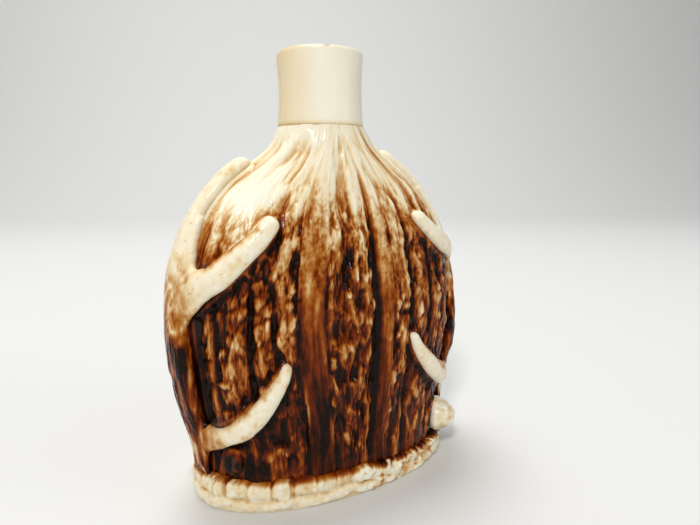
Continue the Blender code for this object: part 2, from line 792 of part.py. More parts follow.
def antler_tines(glaze, clearances):
    """Upper and brow tines, one pair on each face, their roots fitted round the beams.

    The back face repeats the front, turned half round.
    """
    left_clearance, right_clearance = clearances
    upper = (tapered(UPPER_ROOT_WIDTH, UPPER_TIP_WIDTH, UPPER_TAPER),
             tapered(UPPER_ROOT_RISE, UPPER_TIP_RISE, UPPER_TAPER))
    brow = (tapered(BROW_ROOT_WIDTH, BROW_TIP_WIDTH, BROW_TAPER),
            tapered(BROW_ROOT_RISE, BROW_TIP_RISE, BROW_TAPER))
    tines = (
        ("left", "upper", LEFT_UPPER_PATH_SHARES, upper),
        ("left", "brow", LEFT_BROW_PATH_SHARES, brow),
        ("right", "upper", RIGHT_UPPER_PATH_SHARES, upper),
        ("right", "brow", RIGHT_BROW_PATH_SHARES, brow),
    )
    for side, kind, path_shares, sizes in tines:
        near, far, opposite = left_clearance, right_clearance, "right"
        if side == "right":
            near, far, opposite = right_clearance, left_clearance, "left"
        front = horn(f"{side}_front_{kind}_tine", path_shares, TINE_RINGS, *sizes, glaze)
        back = half_turned(front, f"{opposite}_back_{kind}_tine")
        cut(front, near)
        cut(back, far)


def knob_path(places, turned, tine_path_shares, drop):
    """Places and heights of a knob between the coronet and the brow tine over it."""
    heights = []
    tine_height = np.interp(places[0], *zip(*sorted(tine_path_shares))) * SHOULDER_TOP
    foot = coronet_top((places[0] + turned) / 2, 1.0) + KNOB_LIFT
    for height in np.linspace(foot, tine_height - drop, len(places)):
        heights.append(height / SHOULDER_TOP)
    return [(place + turned, height) for place, height in zip(places, heights)]


def burr_knobs(glaze):
    """The almond-shaped knob under each brow tine, on both faces."""
    left = LEFT_KNOB_PLACE_SHARES, LEFT_BROW_PATH_SHARES, LEFT_KNOB_DROP
    right = RIGHT_KNOB_PLACE_SHARES, RIGHT_BROW_PATH_SHARES, RIGHT_KNOB_DROP
    knobs = (
        ("left_front", 0.0, left, LEFT_KNOB_WIDTH, LEFT_KNOB_RISE),
        ("right_back", 1.0, left, LEFT_KNOB_WIDTH, LEFT_KNOB_RISE),
        ("right_front", 0.0, right, RIGHT_KNOB_WIDTH, RIGHT_KNOB_RISE),
        ("left_back", 1.0, right, RIGHT_KNOB_WIDTH, RIGHT_KNOB_RISE),
    )
    for side, turned, (places, tine_path_shares, drop), width, rise in knobs:
        horn(f"{side}_burr_knob", knob_path(places, turned, tine_path_shares, drop), KNOB_RINGS,
             lambda along: width, lambda along: rise, glaze, both_ends=True)


def build_flask():
    clear_scene()
    cream = ceramic("cream_glaze", CREAM_GLAZE, GLAZE_ROUGHNESS)
    ivory = ceramic("ivory_glaze", IVORY_GLAZE, GLAZE_ROUGHNESS)
    horn_brown = ceramic("horn_brown_glaze", HORN_GLAZE, GLAZE_ROUGHNESS)
    clay = ceramic("bare_clay", BARE_CLAY, CLAY_ROUGHNESS)
    body_shells(horn_brown)
    neck_collar(ivory)
    base_plate(clay)
    foot_coronet(cream)
    clearances = antler_beams(cream)
    antler_tines(cream, clearances)
    burr_knobs(cream)


build_flask()
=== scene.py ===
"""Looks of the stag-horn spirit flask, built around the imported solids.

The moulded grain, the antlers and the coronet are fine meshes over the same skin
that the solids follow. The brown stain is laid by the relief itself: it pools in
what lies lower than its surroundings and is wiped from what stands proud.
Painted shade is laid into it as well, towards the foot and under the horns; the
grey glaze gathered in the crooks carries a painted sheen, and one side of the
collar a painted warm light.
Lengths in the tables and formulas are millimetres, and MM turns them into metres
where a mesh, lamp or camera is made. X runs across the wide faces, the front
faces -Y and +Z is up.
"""

import itertools
import math

import bmesh
import bpy
import numpy as np
from mathutils import Matrix, Vector


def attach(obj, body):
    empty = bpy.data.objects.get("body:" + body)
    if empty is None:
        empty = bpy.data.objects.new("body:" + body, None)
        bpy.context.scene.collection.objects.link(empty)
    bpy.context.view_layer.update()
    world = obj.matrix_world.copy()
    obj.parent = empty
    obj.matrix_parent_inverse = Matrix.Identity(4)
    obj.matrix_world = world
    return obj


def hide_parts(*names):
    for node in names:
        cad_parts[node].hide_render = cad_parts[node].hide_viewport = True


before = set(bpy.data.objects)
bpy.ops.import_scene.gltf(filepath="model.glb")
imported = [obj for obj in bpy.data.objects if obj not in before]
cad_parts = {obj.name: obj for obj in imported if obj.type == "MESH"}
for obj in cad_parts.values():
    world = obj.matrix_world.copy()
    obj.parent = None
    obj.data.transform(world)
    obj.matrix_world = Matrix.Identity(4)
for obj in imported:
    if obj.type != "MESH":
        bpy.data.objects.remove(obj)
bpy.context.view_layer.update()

MM = 0.001
BODY = "root"

# Sizes of the solids
FLASK_HEIGHT = 130.0
NECK_LENGTH = 21.5
BELLY_HEIGHT = 50.0
BODY_BOTTOM = 5.3
CORONET_HEIGHT = 8.0
CORONET_FALL = 3.0
CORONET_JAG = 1.2
BODY_WIDTH = 87.4
BODY_DEPTH = 47.0
BODY_FOOT_WIDTH = 79.4
BODY_FOOT_DEPTH = 45.2
WALL = 4.0
SQUARENESS = 0.6
FOOT_SQUARENESS = 0.25
NECK_DIAMETER = 25.9
NECK_DRAW_IN = 0.45
BORE_DIAMETER = 17.0
RIM_ROUND = 1.2
BORE_ROUND = 0.6
CORONET_WIDTH = 87.0
CORONET_DEPTH = 49.6
CORONET_SQUARENESS = 0.15
SLAB_RECESS = 1.7
SHOULDER_TOP = FLASK_HEIGHT - NECK_LENGTH

# Body outline, foot to belly: height, then the way from foot size to belly size
LOWER_OUTLINE_SHARES = (
    (0.00, 0.00, 0.00),
    (0.33, 0.27, 0.65),
    (0.66, 0.78, 0.96),
    (1.00, 1.00, 1.00),
)
# Body outline, belly to neck: height, then the way from neck size to belly size
SHOULDER_OUTLINE_SHARES = (
    (0.20, 0.98, 0.96),
    (0.41, 0.90, 0.86),
    (0.58, 0.765, 0.70),
    (0.72, 0.55, 0.50),
    (0.82, 0.315, 0.32),
    (0.90, 0.13, 0.17),
    (1.00, 0.00, 0.00),
)
OUTLINE_STEPS = 24

# Grooves across one face: place between the seams, half width, depth
GROOVE_SHARES = (
    (0.090, 0.026, 1.00),
    (0.172, 0.011, 0.60),
    (0.285, 0.012, 0.80),
    (0.345, 0.012, 0.65),
    (0.398, 0.008, 0.45),
    (0.455, 0.008, 0.40),
    (0.486, 0.008, 0.55),
    (0.530, 0.011, 1.00),
    (0.565, 0.007, 0.35),
    (0.618, 0.012, 0.80),
    (0.690, 0.011, 0.60),
    (0.760, 0.011, 0.65),
    (0.835, 0.011, 0.60),
    (0.910, 0.026, 1.00),
)
# How strongly each ridge between those grooves is pearled, seam to seam
PEARL_SHARES = (0.1, 0.8, 1.0, 0.9, 0.9, 0.12, 0.9, 1.0, 0.25, 0.9, 0.8, 0.9, 0.9, 0.8, 0.1)
PEARL_WIDTH = 2.9
PEARL_PITCH = 4.4
GROOVE_DEPTH = 1.6
LUMP_DEPTH = 0.90
LUMP_WIDTH = 3.4
LUMP_HEIGHT = 6.6
FINE_LUMP_DEPTH = 0.45
WANDER_REACH = 1.1
WANDER_WIDTH = 8.0
WANDER_HEIGHT = 15.0
WANDER_SEED = 11
RUN_WIDTH = 7.0
RUN_HEIGHT = 16.0
RUN_SEED = 17
LUMP_SEED = 41
MIX_FACTOR = 6364136223846793005
MIX_SHIFT = 32
RANDOM_STEPS = 2 ** 24
PEARL_DEPTH = 0.50
RIPPLE_DEPTH = 0.22
SHELL_COLUMNS = 420
SHELL_ROWS = 232

# Antler paths on a face: place between the seams, height on the body
BEAM_PATH_SHARES = (
    (0.030, 0.112), (0.032, 0.240), (0.026, 0.380), (0.010, 0.520),
    (0.000, 0.660), (0.000, 0.790), (0.000, 0.905),
)
RIGHT_BEAM_TIP_SHARE = 0.930
LEFT_UPPER_PATH_SHARES = (
    (0.008, 0.525), (0.050, 0.548), (0.102, 0.577), (0.155, 0.607),
    (0.212, 0.645), (0.255, 0.682), (0.293, 0.717), (0.326, 0.766),
)
LEFT_BROW_PATH_SHARES = (
    (0.030, 0.178), (0.075, 0.190), (0.127, 0.202), (0.189, 0.221), (0.233, 0.243),
    (0.280, 0.276), (0.322, 0.322), (0.356, 0.372), (0.370, 0.408),
)
RIGHT_UPPER_PATH_SHARES = (
    (0.990, 0.610), (0.905, 0.630), (0.835, 0.648),
    (0.770, 0.676), (0.704, 0.720), (0.662, 0.764),
)
RIGHT_BROW_PATH_SHARES = (
    (0.972, 0.228), (0.890, 0.237), (0.799, 0.259), (0.738, 0.291),
    (0.689, 0.324), (0.637, 0.380), (0.610, 0.433),
)
# Clay smeared into the crooks between beam and tine
LEFT_UPPER_WEB_SHARES = (
    (0.022, 0.770), (0.036, 0.705), (0.056, 0.652),
    (0.082, 0.622), (0.112, 0.628), (0.150, 0.640),
)
LEFT_BROW_WEB_SHARES = (
    (0.035, 0.360), (0.048, 0.295), (0.068, 0.250), (0.098, 0.232), (0.140, 0.226),
)
RIGHT_UPPER_WEB_SHARES = (
    (0.975, 0.830), (0.962, 0.760), (0.944, 0.706),
    (0.916, 0.676), (0.880, 0.670), (0.850, 0.672),
)
RIGHT_BROW_WEB_SHARES = (
    (0.965, 0.400), (0.952, 0.340), (0.930, 0.292), (0.900, 0.274), (0.860, 0.272),
)
WEB_SIZES = ((4.4, 2.9), (4.0, 2.7))
# On the back faces the beams' feet lie over the seam, so webs and roots reach across to them
LEFT_BACK_WEB_SHARES = (
    (-0.004, 0.360), (0.012, 0.300), (0.045, 0.256), (0.090, 0.234), (0.140, 0.226),
)
RIGHT_BACK_WEB_SHARES = (
    (1.004, 0.400), (0.990, 0.340), (0.955, 0.294), (0.908, 0.274), (0.860, 0.272),
)
LEFT_BACK_ROOT_SHARES = ((-0.030, 0.166), (0.000, 0.174), (0.045, 0.183), (0.090, 0.194))
RIGHT_BACK_ROOT_SHARES = ((1.030, 0.214), (1.000, 0.222), (0.955, 0.229), (0.905, 0.235))
ROOT_SIZES = ((7.4, 3.6), (7.0, 3.0))
BEAM_FOOT_SHARES = ((0.0305, 0.150), (0.0300, 0.105), (0.0295, 0.066))
FOOT_SIZES = ((9.8, 3.5), (9.4, 2.4))
LEFT_KNOB_PLACE_SHARES = (0.189, 0.186, 0.182)
RIGHT_KNOB_PLACE_SHARES = (0.811, 0.816, 0.824)
LEFT_KNOB_DROP = 4.7
RIGHT_KNOB_DROP = 8.6
KNOB_LIFT = 0.5
# Full width and rise of each horn at its root and its tip
BEAM_SIZES = ((10.0, 3.4), (13.0, 5.5), (7.6, 3.6))
BEAM_SWELL_SHARES = ((0.0, 0.0), (0.12, 0.35), (0.30, 1.0), (0.60, 1.0), (0.76, 0.2), (1.0, 0.0))
UPPER_SIZES = ((9.6, 4.4), (4.6, 2.8))
BROW_SIZES = ((7.8, 3.6), (2.4, 2.2))
UPPER_TAPER = 1.2
BROW_TAPER = 2.4
LEFT_KNOB_SIZES = ((7.6, 2.6), (7.6, 2.6))
RIGHT_KNOB_SIZES = ((11.4, 7.2), (11.4, 7.2))


def through_points(points, steps):
    """A smooth Catmull-Rom curve through the points, with so many steps a span."""
    knots = np.asarray(points, dtype=float)
    padded = np.vstack((2 * knots[0] - knots[1], knots, 2 * knots[-1] - knots[-2]))
    curve = []
    for index in range(len(knots) - 1):
        before, start, end, after = padded[index:index + 4]
        for step in range(steps):
            t = step / steps
            curve.append(0.5 * (
                2 * start
                + (end - before) * t
                + (2 * before - 5 * start + 4 * end - after) * t ** 2
                + (3 * start - before - 3 * end + after) * t ** 3
            ))
    curve.append(knots[-1])
    return np.array(curve)


def travelled(curve):
    """How far along the curve each of its points lies."""
    lengths = np.linalg.norm(np.diff(curve, axis=0), axis=1)
    return np.concatenate(([0.0], np.cumsum(lengths)))


def even_points(curve, count):
    """So many points at even distances along a curve."""
    along = travelled(curve)
    places = np.linspace(0.0, along[-1], count)
    return np.column_stack([np.interp(places, along, column) for column in curve.T])


def smooth_step(low, high, value):
    share = np.clip((value - low) / (high - low), 0.0, 1.0)
    return share * share * (3.0 - 2.0 * share)


def bell(value, middle, width):
    """One at the middle, and near zero two widths away from it."""
    return np.exp(-((value - middle) / width) ** 2)


def rounded(share):
    """A quarter circle: zero at share zero, one and level at share one."""
    return np.sqrt(np.clip(1.0 - (1.0 - np.clip(share, 0.0, 1.0)) ** 2, 0.0, 1.0))


def body_outline():
    """Half width, half depth and height of the body's smooth skin, foot to shoulder."""
    neck = NECK_DIAMETER / 2
    points = []
    for height, width, depth in LOWER_OUTLINE_SHARES:
        points.append((
            (BODY_FOOT_WIDTH + width * (BODY_WIDTH - BODY_FOOT_WIDTH)) / 2,
            (BODY_FOOT_DEPTH + depth * (BODY_DEPTH - BODY_FOOT_DEPTH)) / 2,
            BODY_BOTTOM + height * (BELLY_HEIGHT - BODY_BOTTOM),
        ))
    for height, width, depth in SHOULDER_OUTLINE_SHARES:
        points.append((
            neck + width * (BODY_WIDTH / 2 - neck),
            neck + depth * (BODY_DEPTH / 2 - neck),
            BELLY_HEIGHT + height * (SHOULDER_TOP - BELLY_HEIGHT),
        ))
    return through_points(points, OUTLINE_STEPS)


OUTLINE = body_outline()


def half_sizes(z):
    """Half width, half depth and roundness exponent of the skin at a height."""
    neck = NECK_DIAMETER / 2
    half_width = np.interp(z, OUTLINE[:, 2], OUTLINE[:, 0])
    half_depth = np.interp(z, OUTLINE[:, 2], OUTLINE[:, 1])
    swell = np.clip((half_width - neck) / (BODY_WIDTH / 2 - neck), 0.0, 1.0)
    squareness = np.interp(z, (BODY_BOTTOM, BELLY_HEIGHT), (FOOT_SQUARENESS, SQUARENESS))
    return half_width, half_depth, 2.0 + squareness * np.sqrt(swell)


def oval(turn, half_width, half_depth, exponent):
    """X and Y on an oval; turn 0 is the left seam and 0.25 the middle of the front."""
    across = np.cos(math.tau * turn)
    along = np.sin(math.tau * turn)
    x = -half_width * np.sign(across) * np.abs(across) ** (2.0 / exponent)
    y = -half_depth * np.sign(along) * np.abs(along) ** (2.0 / exponent)
    return x, y


def skin(turn, z):
    """Points on the smooth skin that touches the crests of the ridges."""
    turn, z = np.broadcast_arrays(np.asarray(turn, float), np.asarray(z, float))
    x, y = oval(turn, *half_sizes(z))
    return np.stack((x, y, z), axis=-1)


ARC_PLACES = np.linspace(0.0, 1.0, 2001)
ARC_LENGTHS = travelled(skin(ARC_PLACES / 2, BELLY_HEIGHT))


def arc_to(place):
    """Distance round the belly from the left seam to a place on a face."""
    return np.interp(place, ARC_PLACES, ARC_LENGTHS)


def skin_normal(turn, z):
    """Outward unit normals of the skin."""
    probe = 0.1
    turn = np.asarray(turn, float)
    z = np.clip(np.asarray(z, float), BODY_BOTTOM + probe, SHOULDER_TOP - probe)
    step = probe / BODY_WIDTH
    around = skin(turn + step, z) - skin(turn - step, z)
    upward = skin(turn, z + probe) - skin(turn, z - probe)
    normal = np.cross(around, upward)
    return normal / np.linalg.norm(normal, axis=-1, keepdims=True)


def stirred(mixed):
    """Whole numbers mixed through, so that near ones come out unlike each other."""
    for _ in range(2):
        mixed = (mixed + np.uint64(1)) * np.uint64(MIX_FACTOR)
        mixed = mixed ^ (mixed >> np.uint64(MIX_SHIFT))
    return mixed


def lattice(seed, *cells):
    """Random values from 0 to 1, one for each cell of a lattice."""
    mixed = np.full(np.shape(cells[0]), seed, dtype=np.uint64)
    for cell in cells:
        mixed = stirred(mixed) + cell.astype(np.int64).astype(np.uint64)
    return (stirred(mixed) % np.uint64(RANDOM_STEPS)).astype(float) / RANDOM_STEPS


def noise(seed, *places):
    """Smooth noise from 0 to 1, one lattice cell to a unit of each place."""
    places = np.broadcast_arrays(*[np.asarray(place, float) for place in places])
    floors = [np.floor(place) for place in places]
    fades = [smooth_step(0.0, 1.0, place - floor) for place, floor in zip(places, floors)]
    total = np.zeros(places[0].shape)
    for corner in itertools.product((0, 1), repeat=len(places)):
        weight = np.ones(places[0].shape)
        for side, fade in zip(corner, fades):
            weight = weight * (fade if side else 1.0 - fade)
        total += weight * lattice(seed, *[floor + side for floor, side in zip(floors, corner)])
    return total


def rough_noise(seed, octaves, *places):
    """Noise with finer noise on it, from 0 to 1; each octave is turned against the last."""
    total = 0.0
    strength = 0.5
    first, second, *others = places
    for octave in range(octaves):
        scale = 2.0 ** octave
        angle = 0.6 + 1.1 * octave
        turned = (
            scale * (first * math.cos(angle) - second * math.sin(angle)),
            scale * (first * math.sin(angle) + second * math.cos(angle)),
            *[scale * other for other in others],
        )
        total = total + strength * noise(seed + octave, *turned)
        strength /= 2
    return total / (1.0 - 0.5 ** octaves)


def face_field(seed, across, z):
    """Gives rough noise over a face, by its number, octaves and the size of its cells."""
    def field(number, octaves, width, height):
        return rough_noise(seed + number, octaves, across / width, z / height)
    return field


def point_noise(seed, octaves, points, size):
    """Rough noise from -0.5 to 0.5 at points in space, with cells of that size."""
    places = points.reshape(-1, 3) / size
    return rough_noise(seed, octaves, *places.T).reshape(points.shape[:-1]) - 0.5


def pearls(seed, column, row):
    """Cells in columns, each with its own middle: distance to it, and the cell's number."""
    nearest = np.full(column.shape, 9.0)
    number = np.zeros(column.shape)
    for column_step in (-1, 0, 1):
        cell_column = np.floor(column) + column_step
        phase = 5.0 * lattice(seed + 1, cell_column)
        first_row = np.floor(row + phase)
        for row_step in (-1, 0, 1):
            cell_row = first_row + row_step
            sway = lattice(seed + 2, cell_column, cell_row) - 0.5
            lift = lattice(seed + 3, cell_column, cell_row) - 0.5
            off_column = column - cell_column - 0.5 - 0.35 * sway
            off_row = row + phase - cell_row - 0.5 - 0.75 * lift
            distance = np.hypot(off_column, off_row)
            closer = distance < nearest
            number = np.where(closer, lattice(seed + 4, cell_column, cell_row), number)
            nearest = np.where(closer, distance, nearest)
    return nearest, number


def blurred(values, row_reach, column_reach):
    """A grid of values averaged over so many rows and columns."""
    for axis, reach in ((0, row_reach), (1, column_reach)):
        index = np.arange(values.shape[axis])
        weights = np.exp(-0.5 * ((index[:, None] - index[None, :]) / reach) ** 2)
        weights /= weights.sum(axis=1, keepdims=True)
        values = weights @ values if axis == 0 else values @ weights.T
    return values


def column_number(place):
    """Counts pearl columns from the left seam; each groove lies between two columns."""
    edges = [0.0]
    counts = [0.0]
    for groove, _, _ in GROOVE_SHARES + ((1.0, 0.0, 0.0),):
        columns = max(1, round(float(arc_to(groove) - arc_to(edges[-1])) / PEARL_WIDTH))
        edges.append(groove)
        counts.append(counts[-1] + columns)
    return np.interp(place, edges, counts)


def groove_depth(place, z):
    """Depth share of the grooves: sharp beds, soft shoulders; the shallow ones come and go."""
    level = rough_noise(RUN_SEED, 1, arc_to(place) / RUN_WIDTH, z / RUN_HEIGHT)
    level = smooth_step(0.30, 0.70, level)
    depth = np.zeros(np.shape(place))
    for groove, half_width, share in GROOVE_SHARES:
        run = np.clip(1.0 - 2.0 * (1.0 - share) * (1.0 - level), 0.0, 1.0)
        bed = np.clip(1.0 - np.abs(place - groove) / half_width, 0.0, 1.0)
        slope = bell(place, groove, half_width * 1.5)
        depth = np.maximum(depth, share * run * (0.55 * bed + 0.45 * slope))
    return depth


# Pearls and pits that stand out on a face: place, height, half width, half height, lift
MARKS = (
    (0.385, 86, 2, 6, 0.7), (0.365, 75, 1.6, 4, 0.7), (0.345, 68.5, 1.3, 2.6, 0.8),
    (0.388, 64.5, 1.4, 2.4, 1), (0.388, 61.2, 2.2, 0.9, -0.8), (0.470, 77, 1.9, 3.4, 1),
    (0.502, 86.5, 1.7, 4, 0.9), (0.490, 83, 1.2, 2, 0.7), (0.520, 80, 1.2, 2.6, 0.7),
    (0.507, 75.5, 1.3, 2.6, 0.8), (0.516, 75, 0.9, 1.1, -0.8), (0.500, 67, 0.9, 2.8, 0.7),
    (0.511, 65.5, 1.3, 1.5, 1), (0.494, 70.5, 0.9, 2.2, -1), (0.508, 62, 1.1, 1, -1),
    (0.487, 58.5, 1.5, 3.8, -1.3), (0.472, 51, 1.1, 3.2, -1.1), (0.512, 52.5, 1.4, 2, 0.9),
    (0.488, 46, 1.3, 2, 0.9), (0.514, 43, 1.6, 3, 0.7), (0.498, 40.5, 1.3, 1.5, 0.7),
    (0.495, 36.5, 2.2, 1.2, -1), (0.511, 33, 1.3, 1.6, 0.9), (0.466, 34, 1.3, 1.6, 0.7),
    (0.478, 32, 0.9, 2, -0.9), (0.502, 27.5, 2.2, 3, -1), (0.504, 25, 1.1, 1.2, 0.9),
    (0.487, 27.5, 1.3, 2.2, 0.9), (0.480, 15.5, 1, 3, -0.9), (0.495, 16, 1.3, 2.8, 0.8),
    (0.515, 15, 0.9, 3, -0.9), (0.588, 77, 2.4, 7, 0.6), (0.588, 74.5, 0.9, 2.2, -0.9),
    (0.640, 69, 1.5, 3, 0.9), (0.602, 63, 1, 4, 0.7), (0.600, 55.5, 2.2, 1.2, 0.8),
    (0.600, 53.2, 2.4, 0.9, -1), (0.580, 48.5, 1, 2, 0.8), (0.575, 47, 0.9, 1.2, 0.8),
    (0.588, 46.5, 1.2, 3, 0.6), (0.645, 53, 1.3, 4.2, 0.8), (0.740, 56, 2.4, 2.6, 1.1),
    (0.735, 50, 1.8, 1.8, 0.7), (0.625, 23, 1.4, 2.8, 1.1), (0.612, 27.5, 3.2, 2, -0.8),
    (0.345, 54, 2, 3.6, -1.1), (0.356, 46, 1.8, 2.6, -1), (0.330, 54.5, 1.2, 3.6, 0.8),
    (0.340, 42, 1.3, 2.6, 0.8), (0.375, 50, 2.4, 5, 0.5), (0.220, 51, 1.4, 2, 0.8),
    (0.252, 49.5, 1.6, 2.2, 0.7), (0.228, 42.5, 1.6, 2.6, 1), (0.285, 16.5, 1.4, 2.2, 0.7),
    (0.345, 17, 1.2, 1.8, 0.7), (0.560, 90, 1.3, 4, 0.7), (0.605, 86, 1.4, 2.6, 0.9),
    (0.585, 96, 1.2, 4, 0.6), (0.650, 88, 1.5, 4.5, 0.8), (0.690, 82, 1.3, 3.5, 0.8),
    (0.720, 90, 1.3, 5, 0.7), (0.520, 93, 1.2, 5, 0.6), (0.401, 72, 1, 3, 0.4),
    (0.455, 76, 1, 5, 0.8), (0.484, 43.5, 1, 1.4, 0.8), (0.418, 66, 1.4, 3, 0.5),
    (0.436, 59, 1.2, 3.6, 0.5), (0.153, 49, 2, 9, 0.9), (0.158, 32, 1.9, 9, 0.9),
)


def web_of(place, z):
    """One in the calm field between the left beam and its upper tine, zero elsewhere."""
    tine = np.interp(place, *zip(*LEFT_UPPER_PATH_SHARES)) * SHOULDER_TOP
    inside = smooth_step(0.36, 0.26, place) * smooth_step(-1.0, 3.0, z - tine)
    return inside * smooth_step(99.0, 88.0, z)


# How much of the pearls and of the grooves is left at each height: heights, then shares
PEARL_FADE = ((10.0, 15.0, 74.0, 88.0, 98.0), (0.2, 1.0, 1.0, 0.40, 0.10))
GROOVE_FADE = ((10.0, 16.0, 76.0, 85.0, 94.0, 107.5), (0.3, 1.0, 1.0, 0.45, 0.20, 0.0))
HIGHEST_LIFT = 0.4


def horn_grain(place, z, seed):
    """Lift of the moulded grain over the skin, its beads and its grooves."""
    across = arc_to(place)
    web = web_of(place, z)
    calm = np.clip(np.minimum(place, 1.0 - place) / 0.06, 0.0, 1.0)
    wander = WANDER_REACH * calm * (
        rough_noise(WANDER_SEED, 1, across / WANDER_WIDTH, z / WANDER_HEIGHT) - 0.5)
    across = across + wander + 0.4 * (noise(seed + 9, across / 2.8, z / 5.0) - 0.5)
    settled = np.interp(across, ARC_LENGTHS, ARC_PLACES)
    field = face_field(seed, across, z)

    ridge = np.searchsorted([groove for groove, _, _ in GROOVE_SHARES], settled)
    strength = np.asarray(PEARL_SHARES)[ridge] * np.interp(z, *PEARL_FADE) * (1.0 - 0.75 * web)
    main = smooth_step(0.30, 0.68, rough_noise(LUMP_SEED, 1, across / LUMP_WIDTH, z / LUMP_HEIGHT))
    warp = 2.4 * (field(12, 2, 4.0, 5.0) - 0.5)
    lumps = rough_noise(seed + 30, 3, (across + warp) / 1.9, (z + warp) / 3.8)
    lumps = smooth_step(0.30, 0.68, lumps)
    tangle = field(16, 3, 2.4, 3.0) - 0.5
    nearest, number = pearls(
        seed + 20, column_number(settled) + 1.1 * tangle, (z + 1.8 * warp) / PEARL_PITCH)
    bump = np.clip(1.0 - (nearest / 0.55) ** 2, 0.0, 1.0) ** 1.3 * smooth_step(0.10, 0.90, number)
    bump *= 0.35 + 1.0 * smooth_step(0.35, 0.70, field(24, 2, 5.0, 8.0))
    beads = strength * bump
    worms = rough_noise(seed + 36, 2, across / 1.2, (z + 2 * warp) / 5.5)
    worms = 1.0 - smooth_step(0.0, 0.10, np.abs(worms - 0.5))
    groove = groove_depth(settled, z) * np.interp(z, *GROOVE_FADE) * (1.0 - 0.95 * web)
    ripple = field(44, 3, 1.3, 4.0) - 0.5
    upper = smooth_step(76.0, 88.0, z) * smooth_step(107.5, 101.0, z) * (1.0 - 0.75 * web)
    flutes = upper * (
        1.15 * smooth_step(0.25, 0.75, field(48, 1, 8.5, 24.0)) - 1.1
        + 0.75 * smooth_step(0.3, 0.7, field(49, 2, 4.2, 8.0)) - 0.65)

    lift = LUMP_DEPTH * strength * (main - 1.0) + PEARL_DEPTH * strength * bump
    lift += FINE_LUMP_DEPTH * strength * (lumps - 0.8)
    lift -= GROOVE_DEPTH * groove + 0.30 * strength * worms
    lift += RIPPLE_DEPTH * (0.4 + 0.6 * strength) * ripple + flutes
    for mark_place, mark_z, half_width, half_height, mark_lift in MARKS:
        sideways = (across - arc_to(mark_place)) / half_width
        upward = (z - mark_z) / half_height
        spot = np.exp(-1.1 * (sideways ** 2 + upward ** 2)) ** 1.3
        lift += 0.7 * mark_lift * spot
        beads += 0.8 * max(mark_lift, 0.0) * spot
    seam = smooth_step(0.0, 0.035, np.minimum(place, 1.0 - place))
    return np.minimum(lift, HIGHEST_LIFT) * (0.25 + 0.75 * seam), beads * seam, groove


HORN_STEPS = 160
WEB_STEPS = 60


class Horn:
    """A horn that lies on the skin: its line, frames and sizes at even steps."""

    def __init__(self, name, path_shares, sizes, face=1, steps=HORN_STEPS):
        path = through_points([(place / 2, height * SHOULDER_TOP)
                               for place, height in path_shares], OUTLINE_STEPS)
        along = travelled(skin(path[:, 0], path[:, 1]))
        places = np.linspace(0.0, along[-1], steps)
        turns = np.interp(places, along, path[:, 0])
        heights = np.interp(places, along, path[:, 1])
        self.name = name
        self.length = along[-1]
        self.share = places / along[-1]
        root, *middle, tip = sizes
        taper = BROW_TAPER if "brow" in name else UPPER_TAPER
        share = self.share[:, None]
        self.size = np.array(root) + share ** taper * (np.array(tip) - np.array(root))
        if middle:
            swelling = np.interp(self.share, *zip(*BEAM_SWELL_SHARES))[:, None]
            end = np.where(share < 0.5, root, tip)
            self.size = end + swelling * (np.array(middle[0]) - end)
        turned = np.array((face, face, 1))
        self.foot = skin(turns, heights) * turned
        self.normal = skin_normal(turns, heights) * turned
        ahead = np.gradient(self.foot, axis=0)
        self.ahead = ahead / np.linalg.norm(ahead, axis=1, keepdims=True)
        side = np.cross(ahead, self.normal)
        self.side = side / np.linalg.norm(side, axis=1, keepdims=True)

    @staticmethod
    def at(values, index):
        """Values of the horn's steps, read between the steps."""
        lower = np.minimum(index.astype(int), len(values) - 2)
        rest = (index - lower)[:, None]
        return values[lower] * (1.0 - rest) + values[lower + 1] * rest


def coronet_top(turn):
    """Height of the coronet's upper edge, which falls from the left end to the right."""
    x, _ = oval(turn, CORONET_WIDTH / 2, CORONET_DEPTH / 2, 2.0 + CORONET_SQUARENESS)
    return CORONET_HEIGHT - CORONET_FALL * x / CORONET_WIDTH


def knob_path(places, tine_path_shares, drop):
    """Places and heights of a knob between the coronet and the brow tine over it."""
    head = np.interp(places[0], *zip(*sorted(tine_path_shares))) * SHOULDER_TOP - drop
    foot = coronet_top(places[0] / 2) + CORONET_JAG + KNOB_LIFT
    return [(place, height / SHOULDER_TOP)
            for place, height in zip(places, np.linspace(foot, head, len(places)))]


def mirrored(path_shares):
    """The same path from the other seam."""
    return [(1.0 - place, height) for place, height in path_shares]


def all_horns():
    """Every horn of both antlers and the knobs, by name."""
    right_beam = mirrored(BEAM_PATH_SHARES[:-1]) + [(1.0, RIGHT_BEAM_TIP_SHARE)]
    horns = [
        Horn("left_antler_beam", BEAM_PATH_SHARES, BEAM_SIZES),
        Horn("right_antler_beam", right_beam, BEAM_SIZES),
    ]
    left_knob = knob_path(LEFT_KNOB_PLACE_SHARES, LEFT_BROW_PATH_SHARES, LEFT_KNOB_DROP)
    right_knob = knob_path(RIGHT_KNOB_PLACE_SHARES, RIGHT_BROW_PATH_SHARES, RIGHT_KNOB_DROP)
    forms = (
        ("left", "right", "upper_tine", LEFT_UPPER_PATH_SHARES, UPPER_SIZES),
        ("left", "right", "brow_tine", LEFT_BROW_PATH_SHARES, BROW_SIZES),
        ("left", "right", "burr_knob", left_knob, LEFT_KNOB_SIZES),
        ("right", "left", "upper_tine", RIGHT_UPPER_PATH_SHARES, UPPER_SIZES),
        ("right", "left", "brow_tine", RIGHT_BROW_PATH_SHARES, BROW_SIZES),
        ("right", "left", "burr_knob", right_knob, RIGHT_KNOB_SIZES),
    )
    for side, opposite, kind, path_shares, sizes in forms:
        horns.append(Horn(f"{side}_front_{kind}", path_shares, sizes))
        horns.append(Horn(f"{opposite}_back_{kind}", path_shares, sizes, face=-1))
    return {horn.name: horn for horn in horns}


